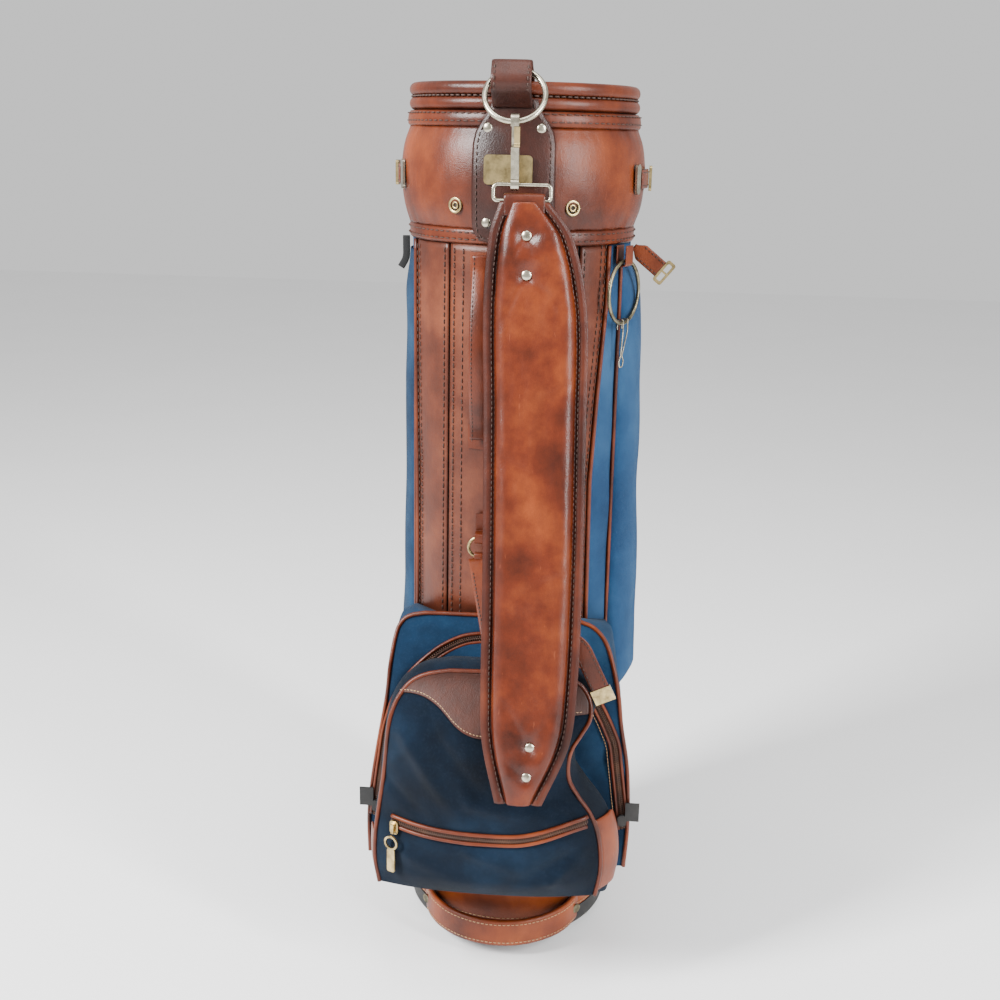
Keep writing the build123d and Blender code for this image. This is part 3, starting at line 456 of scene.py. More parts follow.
def add_studio():
    """Even daylight from above and the left, and a pale paper floor."""
    world = bpy.data.worlds.new("studio")
    bpy.context.scene.world = world
    world.use_nodes = True
    world.node_tree.nodes["Background"].inputs["Color"].default_value = (1, 1, 1, 1)
    world.node_tree.nodes["Background"].inputs["Strength"].default_value = 0.85
    add_light("key", (-1.5, -1.2, 1.75), (0, 0, 0.45), (0.45, 0.9), 150)
    add_light("fill", (1.6, -1.2, 1.3), (0, 0, 0.5), (0.25, 1.5), 75)
    add_light("top", (0.0, -0.5, 2.4), (0, 0, 0.6), (0.8, 0.8), 14)
    verts = [(-6, -6, -0.0005), (6, -6, -0.0005), (6, 6, -0.0005), (-6, 6, -0.0005)]
    mesh = bpy.data.meshes.new("floor")
    mesh.from_pydata(verts, [], [(0, 1, 2, 3)])
    floor = bpy.data.objects.new("floor", mesh)
    bpy.context.scene.collection.objects.link(floor)
    material, tree, shader, place = new_material("floor_paper", 0.9)
    tree.links.new(ramp_node(tree, noise_node(tree, place, 3.0), (0.0, (0.86, 0.86, 0.86)), (1.0, (0.9, 0.9, 0.9))),
                   shader.inputs["Base Color"])
    mesh.materials.append(material)


add_camera()
add_studio()

# ================= CAD nodes that keep their shape =================
KEPT = (
    (black_mould, "base_pan", "base_feet", "upper_slider_left", "upper_slider_right"),
    (lining, "club_divider", "body_tube", "cuff_lining"),
    (antique, "base_handle_rivets", "garment_slider_left", "garment_slider_right", "towel_ring"),
    (nickel, "slot_frames", "strap_ring", "snap_hook", "hook_loop", "wire_clip"),
    (brass, "cuff_buckles", "snap_gate", "pad_buckle", "tail_tip", "anchor_ring", "ball_slider", "ball_puller",
     "umbrella_buckle", "emblem_plate"),
    (saddle, "strap_anchors"),
)
for finish, *nodes in KEPT:
    for node in nodes:
        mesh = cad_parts[node].data
        mesh.materials.clear()
        mesh.materials.append(finish)

SKIN = 0.0026
CLOTH = 0.0018
PIPING = 0.0021
STRAP_SIDES = 16


def softened(width, thickness, corner, crown=0.0):
    """A strap's section with softened edges, as (sideways, outward) offsets; crown puffs its face."""
    section = []
    for step in range(STRAP_SIDES):
        c, s = cos(2 * pi * step / STRAP_SIDES), sin(2 * pi * step / STRAP_SIDES)
        wide = abs(c) ** corner * (1 if c > 0 else -1)
        tall = abs(s) ** 0.6 * (1 if s > 0 else -1)
        puff = 1 + crown * (1 - wide * wide) if s > 0 else 1
        section.append((wide * width / 2, tall * thickness / 2 * puff))
    return section


def strap(path, width, thickness, side, crown=0.0):
    """A flat strap swept along a path that bends; side is the constant width direction."""
    points = [Vector(p) for p in path]
    across = Vector(side).normalized()
    section = softened(width, thickness, 0.35, crown)
    verts = []
    for k, point in enumerate(points):
        before, after = points[max(0, k - 1)], points[min(len(points) - 1, k + 1)]
        normal = across.cross(after - before).normalized()
        verts += [point + across * wide + normal * tall for wide, tall in section]
    return verts, skin_rings(len(points), STRAP_SIDES)


def flat_strap(path, width, thickness, normal):
    """A strap lying flat across a normal that turns within its own plane; width may taper along it."""
    points = [Vector(p) for p in path]
    up = Vector(normal).normalized()
    verts, last = [], len(points) - 1
    for k, point in enumerate(points):
        across = (points[min(last, k + 1)] - points[max(0, k - 1)]).cross(up).normalized()
        here = width(k / last) if callable(width) else width
        verts += [point + across * wide + up * tall for wide, tall in softened(here, thickness, 0.3)]
    return verts, skin_rings(len(points), STRAP_SIDES)


def rounded_path(points, radius, steps=5):
    """A path with its inner corners rounded."""
    points = [Vector(p) for p in points]
    path = [points[0]]
    for before, corner, after in zip(points, points[1:], points[2:]):
        reach = min(radius, (corner - before).length * 0.45, (after - corner).length * 0.45)
        start = corner + (before - corner).normalized() * reach
        end = corner + (after - corner).normalized() * reach
        for k in range(steps + 1):
            t = k / steps
            path.append(start * (1 - t) ** 2 + corner * 2 * t * (1 - t) + end * t * t)
    path.append(points[-1])
    return path


def dense(path, step=0.004):
    return [point for point, _ in resample(path, step)] + [Vector(path[-1])]


# ================= trunk =================
PANEL_EDGE = 33.2
STRIP_EDGE = 34.8
LEFT_PIPING = ((0.48, -62.0), (0.684, -65.7))
RIGHT_PIPING = ((0.366, 46.7), (0.515, 45.6), (0.596, 48.5), (0.692, 53.2), (0.749, 53.7))


def left_edge(height):
    return between(LEFT_PIPING, height)


def right_edge(height):
    return between(RIGHT_PIPING, height)


def trunk_skin(start, end, radius, waves, low=None, high=None):
    """A surface round the trunk between two edge functions of height, with soft unevenness."""
    low = trunk_low if low is None else low
    high = trunk_high if high is None else high

    def surface(u, v):
        height = low + (high - low) * v
        angle = start(height) + (end(height) - start(height)) * u
        edge = min(1.0, min(u, 1 - u) * 12)
        point = around(1.0, angle, height)
        swell = waves * edge * ripple(point.x * 0.11, point.y * 0.11, height, 17.0, 3.1)
        return around(radius + swell - 0.0006 * (1 - edge), angle, height), radial(point)
    return surface


def height_line(angle_at, radius, low, high, steps=60):
    return [around(radius, angle_at(low + (high - low) * k / steps), low + (high - low) * k / steps)
            for k in range(steps + 1)]


def add_trunk():
    """The leather front, its piping, the canvas round the rest and every seam on them."""
    top = trunk_high - 0.001
    verts, faces = slab(trunk_skin(lambda h: -PANEL_EDGE, lambda h: PANEL_EDGE, trunk_radius + 0.0006, 0.0009),
                        40, 90, SKIN)
    make_piece("front_leather_panel", verts, faces, panel_leather, "bag", "saddle_leather", ["front_panel"])
    strips = [slab(trunk_skin(lambda h: left_edge(h) + 1, lambda h: -STRIP_EDGE, trunk_radius, 0.0007), 18, 90, SKIN),
              slab(trunk_skin(lambda h: STRIP_EDGE, lambda h: right_edge(h) - 1, trunk_radius, 0.0007), 12, 90, SKIN)]
    make_piece("side_leather_strips", *join_meshes(strips), panel_leather, "bag", "saddle_leather", ["side_strips"])
    # painted shadow: a dark sheet behind the gaps at the front panel's edges stands in for their shade
    backing = slab(trunk_skin(lambda h: -36, lambda h: 36, trunk_radius - 0.0022, 0), 40, 4, 0.0006)
    make_piece("panel_seam_shadow", *backing, shadow_fill, "bag", "saddle_leather")
    radius = trunk_radius + 0.0006
    pipes = [tube(height_line(left_edge, radius, trunk_low, top), 0.0023, 10),
             tube(height_line(right_edge, radius, trunk_low, top), 0.0023, 10)]
    make_piece("trunk_piping", *join_meshes(pipes), saddle, "bag", "saddle_leather", ["body_piping"])
    cloth = trunk_skin(lambda h: right_edge(h) + 0.8, lambda h: 360 + left_edge(h) - 0.8, canvas_radius, 0.0022)
    verts, faces = slab(cloth, 150, 110, CLOTH)
    make_piece("trunk_canvas", verts, faces, body_canvas, "bag", "navy_canvas", ["canvas_body"])
    rows = []
    for offset in (-30.6, -25.2, 25.2, 30.6):
        rows.append((lambda h, a=offset: a, trunk_radius + 0.0012))
    for offset in (1.6, 4.6):
        rows.append((lambda h, a=offset: left_edge(h) + a + 1, trunk_radius + 0.0005))
        rows.append((lambda h, a=offset: right_edge(h) - a - 1, trunk_radius + 0.0005))
    for offset in (-37.2, 37.2):
        rows.append((lambda h, a=offset: a, trunk_radius + 0.0005))
    parts = [stitch_row(height_line(edge, reach, trunk_low, top), radial, pitch=0.0068, length=0.0046,
                        radius=0.00045) for edge, reach in rows]
    sew("trunk_stitching", parts, dark_thread, "bag", "saddle_leather")
    seam = height_line(lambda h: 180, canvas_radius + 0.0016, trunk_low, top)
    flat_seam = strap(dense(seam, 0.01), 0.014, 0.0016, (1, 0, 0))
    make_piece("back_seam_tape", *flat_seam, body_canvas, "bag", "navy_canvas")
    rows = [[p + Vector((x, 0.001, 0)) for p in seam] for x in (-0.005, 0.005)]
    parts = [stitch_row(row, lambda p: (0, 1, 0)) for row in rows]
    sew("back_seam_stitching", parts, dark_thread, "bag", "navy_canvas")


# ================= cuff and rim =================
CUFF_MIDDLE = (cuff_low + cuff_high) / 2
CUFF_HALF = (cuff_high - cuff_low) / 2
CUFF_SAG = 0.007
CUFF_ARC = (CUFF_HALF**2 + CUFF_SAG**2) / (2 * CUFF_SAG)
STUD_ANGLE, STUD_HEIGHT = 27.5, 0.78


def cuff_reach(height):
    inside = max(0.0, CUFF_ARC**2 - (height - CUFF_MIDDLE) ** 2)
    return cuff_bulge_radius - CUFF_ARC + sqrt(inside)


def cuff_skin(angle, height):
    """The padded cuff's radius: bulging, gathered at its hem and pinched round the studs."""
    reach = cuff_reach(height)
    point = around(0.12, angle, height)
    reach += 0.0011 * ripple(point.x, point.y, height, 22.0, 5.0)
    near_hem = exp(-((height - cuff_low) / 0.012) ** 2)
    near_top = exp(-((height - cuff_high) / 0.010) ** 2)
    gathers = ripple(point.x, point.y, 0.0, 95.0, 1.7)
    reach += 0.0014 * gathers * (near_hem + 0.6 * near_top)
    reach -= 0.0018 * (near_hem + near_top)
    for side in (-1, 1):
        away = hypot((angle - side * STUD_ANGLE) * radians(1) * 0.12, height - STUD_HEIGHT)
        reach -= 0.0016 * exp(-(away / 0.011) ** 2)
        away = hypot((angle - side * 68) * radians(1) * 0.12, height - 0.805)
        reach -= 0.0012 * exp(-(away / 0.016) ** 2)
    return reach


def ring_of(profile, segments=160, wobble=0.0, seed=0.0):
    """A closed ring of revolution from a closed (radius, height) profile, slightly uneven."""
    verts = []
    for k in range(segments):
        angle = 360 * k / segments
        for radius, height in profile:
            point = around(radius, angle, height)
            swell = 1 + wobble * ripple(point.x, point.y, height, 45.0, seed) / radius
            verts.append(around(radius * swell, angle, height))
    return verts, skin_rings(segments, len(profile), closed=True, caps=False)


def circle_line(radius, height, step=2.0, start=0.0, end=360.0):
    count = int((end - start) / step)
    return [around(radius, start + (end - start) * k / count, height) for k in range(count + 1)]


def add_cuff():
    """The padded cuff with its bands, the two rim rolls and their stitching."""

    def surface(u, v):
        angle, height = 360 * u, cuff_low + (cuff_high - cuff_low) * v
        return around(cuff_skin(angle if angle < 180 else angle - 360, height), angle, height), radial(
            around(1, angle, 0))
    make_piece("padded_cuff", *slab(surface, 300, 36, 0.004, closed=True), saddle, "bag", "saddle_leather",
               ["cuff_body"])
    inner = trunk_radius + 0.0002
    low, high = cuff_high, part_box("cuff_band")[1][2]
    out = cuff_bulge_radius - CUFF_SAG
    band = [(inner, low), (out - 0.0012, low), (out + 0.0004, low + 0.002), (out + 0.0006, low + 0.007),
            (out, high - 0.003), (out - 0.002, high), (inner, high)]
    make_piece("cuff_top_band", *ring_of(band, 200, 0.0005, 2.0), saddle, "bag", "saddle_leather", ["cuff_band"])
    beads = []
    bead = (rim_top - high) / 2
    for base, inside in ((high, inner), (high + bead, 0.1008)):
        middle, half = base + bead / 2, bead / 2
        profile = [(inside, base + 0.001)]
        profile += [(rim_radius - half * 0.85 + half * 0.85 * cos(a), middle + (half - 0.0003) * sin(a))
                    for a in [radians(d) for d in range(-90, 91, 18)]]
        profile += [(inside, base + bead - 0.001)]
        beads.append(ring_of(profile, 220, 0.0006, base * 10))
    make_piece("rim_rolls", *join_meshes(beads), saddle, "bag", "saddle_leather", ["rim_beads"])
    hem_low, hem_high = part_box("cuff_hem")[0][2], cuff_low
    hem_out = rim_radius
    hem = [(inner, hem_low + 0.001), (hem_out - 0.0015, hem_low), (hem_out + 0.0002, hem_low + 0.0025),
           (hem_out - 0.0004, hem_low + 0.007), (hem_out + 0.0002, hem_high - 0.003), (hem_out - 0.001, hem_high),
           (inner, hem_high)]
    make_piece("cuff_hem_band", *ring_of(hem, 200, 0.0007, 4.0), saddle, "bag", "saddle_leather", ["cuff_hem"])
    rows = [(out + 0.0009, low + 0.0048), (out + 0.0004, high - 0.0022), (hem_out + 0.0004, hem_low + 0.0042),
            (hem_out + 0.0004, hem_low + 0.0105)]
    parts = [stitch_row(circle_line(radius, height), radial, 0.0072, 0.005, 0.00045) for radius, height in rows]
    parts.append(stitch_row(circle_line(rim_radius - 0.0026, high + bead), radial, 0.0062, 0.0046, 0.0008))
    sew("cuff_stitching", parts, dark_thread, "bag", "saddle_leather")


TAB_WIDTH = ((0.7465, 0.014), (0.7475, 0.024), (0.7505, 0.0325), (0.757, 0.0375), (0.765, 0.0388),
             (0.835, 0.0385), (0.846, 0.036), (0.853, 0.0315), (0.860, 0.0262), (0.866, 0.0225), (0.874, 0.0205))


def tab_point(x, height, lift=0.0):
    """A point on the tab's outer face, wrapped over the cuff and its top band."""
    base = max(cuff_reach(min(height, cuff_high)), cuff_bulge_radius - CUFF_SAG)
    if height < cuff_low:
        base = cuff_bulge_radius - CUFF_SAG
    reach = base + 0.0034 + lift
    angle = x / reach
    return Vector((reach * sin(angle), -reach * cos(angle), height))


def add_tab():
    """The dark leather tab on the cuff and the loop that holds the strap ring."""
    low, high = TAB_WIDTH[0][0], TAB_WIDTH[-1][0]

    def surface(u, v):
        height = low + (high - low) * v
        half = between(TAB_WIDTH, height)
        x = half * (2 * u - 1)
        dent = -0.0009 * exp(-((1 - abs(2 * u - 1)) * half / 0.003) ** 2)
        puff = 0.0005 * ripple(x, 0, height, 40.0, 8.0)
        point = tab_point(x, height, dent + puff)
        return point, radial(point)
    make_piece("front_tab", *slab(surface, 40, 60, 0.0028), mahogany, "bag", "dark_leather", ["cuff_tab"])
    rows = []
    for side in (-1, 1):
        rows.append([tab_point(side * (between(TAB_WIDTH, h) - 0.0045), h, 0.0002)
                     for h in [0.753 + (0.872 - 0.753) * k / 60 for k in range(61)]])
    rows.append([tab_point(x * 0.033, 0.7515, 0.0002) for x in [k / 10 - 1 for k in range(21)]])
    parts = [stitch_row(row, radial, 0.0058, 0.004, 0.00045) for row in rows]
    sew("front_tab_stitching", parts, dark_thread, "bag", "dark_leather")
    lean = radians(34)

    def at_ring(up, out):
        return (-0.002, -0.140 + up * sin(lean) - out * cos(lean), rim_top - 0.0135 + up * cos(lean) + out * sin(lean))
    path = [(-0.002, -0.1164, 0.867), at_ring(0.0065, 0), at_ring(0.012, 0.0072), at_ring(0.032, 0.0072),
            at_ring(0.032, -0.005), (-0.002, -0.099, rim_top + 0.0032), (-0.002, -0.0955, rim_top - 0.004),
            (-0.002, -0.0955, 0.876)]
    path = rounded_path(path, 0.004)
    make_piece("ring_loop", *strap(dense(path, 0.0025), 0.036, 0.0026, (1, 0, 0)), mahogany, "bag", "dark_leather",
               ["tab_loop"])
    front = [Vector(p) for p in path[:14]]
    parts = []
    for side in (-1, 1):
        row = [p + Vector((side * 0.0148, -0.0013, 0.0004)) for p in front]
        parts.append(stitch_row(row, lambda p: (0, -1, 0.4), 0.0056, 0.0038, 0.0005))
    sew("ring_loop_stitching", parts, dark_thread, "bag", "dark_leather")


def fold_height(x, z, folds):
    """Raised and sunken creases, each a line across the cloth that fades at its ends."""
    total = 0.0
    for x0, z0, x1, z1, height, width in folds:
        along = Vector((x1 - x0, z1 - z0))
        t = ((x - x0) * along.x + (z - z0) * along.y) / along.length_squared
        nearest = min(1.0, max(0.0, t))
        away = hypot(x - x0 - along.x * nearest, z - z0 - along.y * nearest)
        fade = 1 - 0.75 * nearest
        total += height * fade * exp(-(away / width) ** 2)
    return total


# ================= shoulder pad =================
PAD_TOP = pad_box[1][2] - 0.005
PAD_LENGTH = 0.54
FOLD_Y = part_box("hook_loop")[0][1] + 0.0021
PAD_LEFT = ((0, -0.009), (0.03, -0.018), (0.095, -0.022), (0.185, -0.019), (0.355, -0.014), (0.44, -0.012),
            (0.485, -0.009), (0.54, 0.005))
PAD_RIGHT = ((0, 0.035), (0.03, 0.057), (0.095, 0.072), (0.185, 0.075), (0.355, 0.078), (0.44, 0.077),
             (0.485, 0.072), (0.54, 0.049))
PAD_LINE = ((0, 0.0), (0.1, -0.004), (0.19, -0.016), (0.36, -0.052), (0.45, -0.074), (0.54, -0.096))


def curve_through(table, value):
    """A smooth curve through a short table (Catmull-Rom)."""
    keys = [k for k, _ in table]
    value = min(max(value, keys[0]), keys[-1])
    index = max(i for i, k in enumerate(keys[:-1]) if k <= value)
    before = table[max(0, index - 1)]
    a, b = table[index], table[index + 1]
    after = table[min(len(table) - 1, index + 2)]
    t = (value - a[0]) / (b[0] - a[0])
    span = b[0] - a[0]
    slope_a = (b[1] - before[1]) / max(1e-9, b[0] - before[0]) * span
    slope_b = (after[1] - a[1]) / max(1e-9, after[0] - a[0]) * span
    h00, h10 = 2 * t**3 - 3 * t**2 + 1, t**3 - 2 * t**2 + t
    h01, h11 = -2 * t**3 + 3 * t**2, t**3 - t**2
    return h00 * a[1] + h10 * slope_a + h01 * b[1] + h11 * slope_b


RIVETS = ((0.016, 0.029), (0.017, 0.063), (0.036, 0.486), (0.034, 0.513))
FLANGE = 0.0105
PAD_NORMAL = Vector((0, -1, 0.1))


def pad_point(x, drop, lift):
    """A point lift in front of the pad's back face."""
    y = FOLD_Y + curve_through(PAD_LINE, drop)
    ahead = FOLD_Y + curve_through(PAD_LINE, min(PAD_LENGTH, drop + 0.01))
    slope = atan2(y - ahead, 0.01) if drop < 0.535 else atan2(0.022, 0.09)
    return Vector((x, y - lift * cos(slope), PAD_TOP - drop + lift * sin(slope) * 0.4))


PAD_CREASES = ((0.018, 0.034, 0.052, 0.056, -0.0022, 0.0042), (0.018, 0.031, 0.048, 0.018, -0.0016, 0.0040),
               (0.020, 0.068, 0.056, 0.098, -0.0024, 0.0046), (0.014, 0.066, -0.006, 0.110, -0.0018, 0.0040),
               (0.012, 0.030, -0.002, 0.064, -0.0014, 0.0036), (0.026, 0.046, 0.040, 0.046, 0.0014, 0.0060),
               (0.040, 0.090, 0.028, 0.150, 0.0016, 0.0080), (0.036, 0.484, 0.058, 0.452, -0.0018, 0.0044),
               (0.034, 0.484, 0.010, 0.446, -0.0016, 0.0044), (0.034, 0.514, 0.052, 0.500, -0.0014, 0.0036),
               (0.033, 0.514, 0.012, 0.498, -0.0014, 0.0036), (0.004, 0.230, 0.050, 0.252, -0.0007, 0.0050),
               (0.060, 0.330, 0.012, 0.352, -0.0007, 0.0050), (0.058, 0.160, 0.020, 0.182, -0.0006, 0.0040))


def pad_height(x, drop):
    """The padded face's thickness: full in the middle, grooved beside its stitched flanges."""
    left, right = curve_through(PAD_LEFT, drop), curve_through(PAD_RIGHT, drop)
    edge = min(x - left, right - x) - FLANGE
    full = 0.0135 * (0.55 + 0.45 * smooth_step(0, 0.05, drop) * smooth_step(0, 0.03, PAD_LENGTH - drop))
    rise = sqrt(max(0.0, 1 - (1 - min(1.0, edge / 0.012)) ** 2)) if edge > 0 else 0.0
    height = 0.0032 + (full - 0.0032) * rise
    height -= 0.0016 * exp(-(edge / 0.0011) ** 2)
    if edge < 0:
        height += 0.0016 * exp(-((edge + 0.006) / 0.0036) ** 2)
    for rivet_x, rivet_drop in RIVETS:
        height -= 0.0034 * exp(-(hypot(x - rivet_x, drop - rivet_drop) / 0.0085) ** 2)
    height += 0.7 * rise * fold_height(x, drop, PAD_CREASES)
    height += rise * (0.0011 * ripple(x, 0, drop, 26.0, 4.4) + 0.0005 * ripple(x, 0, drop * 0.4, 110.0, 2.4))
    return height


def add_pad():
    """The shoulder pad: padded face, back, fold and edge stitching."""

    def surface(u, v):
        drop = PAD_LENGTH * (1 - v)
        left, right = curve_through(PAD_LEFT, drop), curve_through(PAD_RIGHT, drop)
        x = left + (right - left) * u
        return pad_point(x, drop, pad_height(x, drop)), PAD_NORMAL
    face = slab(surface, 96, 260, CLOTH)

    def back_face(u, v):
        drop = PAD_LENGTH * (1 - v)
        x = curve_through(PAD_LEFT, drop) * (1 - u) + curve_through(PAD_RIGHT, drop) * u
        return pad_point(x, drop, 0.0016), PAD_NORMAL
    backing = slab(back_face, 12, 90, 0.0016)
    turn = [(0.013, FOLD_Y + y, PAD_TOP + z)
            for y, z in ((-0.0042, -0.012), (-0.0040, 0.0062), (0.0040, 0.0062), (0.0040, -0.02))]
    fold = strap(dense(rounded_path(turn, 0.004), 0.0015), 0.037, 0.0024, (1, 0, 0))
    piece = make_piece("pad_face", *face, saddle_pad, "pad", "saddle_leather", ["pad_core"],
                       more_materials=(flange_leather,))
    for polygon in piece.data.polygons:
        centre = polygon.center
        drop = PAD_TOP - centre.z
        inside = min(centre.x - curve_through(PAD_LEFT, drop), curve_through(PAD_RIGHT, drop) - centre.x)
        polygon.material_index = 1 if inside < FLANGE - 0.0006 else 0
    make_piece("pad_back_leather", *join_meshes([backing, fold]), flange_leather, "pad", "dark_leather",
               ["pad_backing"])
    parts = []
    for table, side in ((PAD_LEFT, 1), (PAD_RIGHT, -1)):
        row = []
        for k in range(140):
            drop = 0.004 + 0.532 * k / 139
            x = curve_through(table, drop) + side * (FLANGE - 0.0026)
            row.append(pad_point(x, drop, pad_height(x, drop) + 0.0002))
        parts.append(stitch_row(row, lambda p: PAD_NORMAL, 0.0052, 0.0034, 0.0005))
    sew("pad_stitching", parts, dark_thread, "pad", "saddle_leather")


add_trunk()
add_cuff()
add_tab()
add_pad()
# ================= ball pocket =================
BALL_BACK, BALL_EDGE = -0.1445, -0.197
BALL_LEFT = ((0.125, -0.113), (0.150, -0.117), (0.178, -0.1165), (0.206, -0.113), (0.250, -0.107), (0.293, -0.103),
             (0.312, -0.099), (0.326, -0.092), (0.338, -0.081), (0.345, -0.066), (0.349, -0.046))
BALL_RIGHT = ((0.125, 0.102), (0.151, 0.106), (0.174, 0.1055), (0.198, 0.101), (0.216, 0.093), (0.232, 0.082),
              (0.248, 0.073), (0.265, 0.071), (0.282, 0.074), (0.297, 0.082), (0.312, 0.090), (0.326, 0.0895),
              (0.338, 0.083), (0.345, 0.073), (0.349, 0.052))
BALL_LOW, BALL_TOP = BALL_LEFT[0][0], BALL_LEFT[-1][0]
FOLDS = ((-0.088, 0.292, -0.030, 0.216, 0.0068, 0.0085), (-0.062, 0.302, -0.010, 0.240, -0.0050, 0.0080),
         (0.090, 0.214, 0.026, 0.262, 0.0062, 0.0068), (0.076, 0.262, 0.030, 0.302, 0.0054, 0.0080),
         (0.084, 0.234, 0.040, 0.238, -0.0046, 0.0062), (-0.104, 0.240, -0.066, 0.212, -0.0044, 0.0070),
         (-0.020, 0.232, 0.050, 0.218, 0.0040, 0.0085), (0.098, 0.206, 0.056, 0.213, 0.0038, 0.0062),
         (-0.096, 0.172, -0.030, 0.148, 0.0040, 0.0085), (0.074, 0.172, 0.016, 0.144, -0.0046, 0.0090),
         (-0.020, 0.180, 0.034, 0.160, 0.0036, 0.0075), (-0.100, 0.262, -0.070, 0.300, 0.0034, 0.0070),
         (0.012, 0.290, 0.030, 0.222, -0.0034, 0.0080), (0.060, 0.150, 0.092, 0.180, 0.0034, 0.0070))


def ball_outward(z):
    """How far the pocket's middle stands in front of its piping at a height."""
    low = smooth_step(BALL_LOW - 0.02, BALL_LOW + 0.024, z)
    high = 1 - smooth_step(0.262, BALL_TOP + 0.006, z) ** 1.4
    return low * high


def ball_front(x, z):
    left, right = curve_through(BALL_LEFT, z), curve_through(BALL_RIGHT, z)
    across = min(1.0, max(-1.0, (2 * x - left - right) / (right - left)))
    bow = max(0.0, 1 - abs(across) ** 2.6)
    edge = BALL_EDGE + 0.017 * smooth_step(0.29, BALL_TOP, z)
    y = edge - 0.0275 * bow * ball_outward(z)
    calm = bow ** 0.5
    y -= calm * (fold_height(x, z, FOLDS) + 0.0016 * ripple(x, 0, z, 24.0, 3.3) * ball_outward(z))
    zip_line = zip_height_at(x)
    y += 0.0022 * exp(-((z - zip_line) / 0.010) ** 2) * calm
    return Vector((x, y, z))


def zip_height_at(x):
    return 0.1945 + 0.0042 * (x / 0.09) ** 2 + (0.010 * smooth_step(0.02, 0.095, x))


def pocket_outline(left, right, low, high, steps, crown):
    """A pocket front's piped edge, up the left and down the right, and its whole outline with the foot."""
    heights = [low + (high - low) * k / 120 for k in range(121)]
    start, end = left(high), right(high)
    top = [(start + (end - start) * k / steps, high + crown * sin(pi * k / steps)) for k in range(1, steps)]
    edge = [(left(z), z) for z in heights] + top + [(right(z), z) for z in heights[::-1]]
    foot = [(edge[-1][0] + (edge[0][0] - edge[-1][0]) * k / 50, low) for k in range(1, 50)]
    return edge, edge + foot


def facing(surface_at, x, z, step=0.0015):
    """The outward normal of a front surface given as a function of x and z."""
    here = surface_at(x, z)
    return (surface_at(x + step, z) - here).cross(surface_at(x, z + step) - here).normalized()


def follow(table):
    """A pocket edge as a function of height."""
    return lambda z: curve_through(table, z)


def patch(surface_at, left, right, low, high, nu, nv, thickness, lift=0.0):
    """A slab lying on a front surface between edge functions of height."""
    def surface(u, v):
        z = low + (high - low) * v
        x = left(z) + (right(z) - left(z)) * u
        normal = facing(surface_at, x, z)
        return surface_at(x, z) + normal * lift, normal
    return slab(surface, nu, nv, thickness)


def coil_zip(path, normal_at, side_at, tape_width, lift=0.0006):
    """A coil zip along a path: two tapes and a row of interlocked coil teeth."""
    line = resample(path, 0.0011)
    parts = []
    for side in (-1, 1):
        tape = [p + side_at(p) * side * tape_width / 4 for p, _ in line]
        verts = []
        for p in tape:
            normal, across = normal_at(p), side_at(p)
            for reach, rise in ((-0.24, 0.0), (0.24, 0.0), (0.24, lift), (-0.24, lift)):
                verts.append(p + across * reach * tape_width + normal * rise)
        parts.append((verts, skin_rings(len(tape), 4, caps=False)))
    teeth = []
    for index, (p, _) in enumerate(line):
        normal, across = normal_at(p), side_at(p)
        side = 1 if index % 2 else -1
        start = p + across * side * 0.0022 + normal * (lift + 0.0004)
        end = p - across * side * 0.0004 + normal * (lift + 0.0011)
        teeth.append(tube([start, (start + end) / 2 + normal * 0.0004, end], 0.00042, 5))
    return join_meshes(parts), join_meshes(teeth)


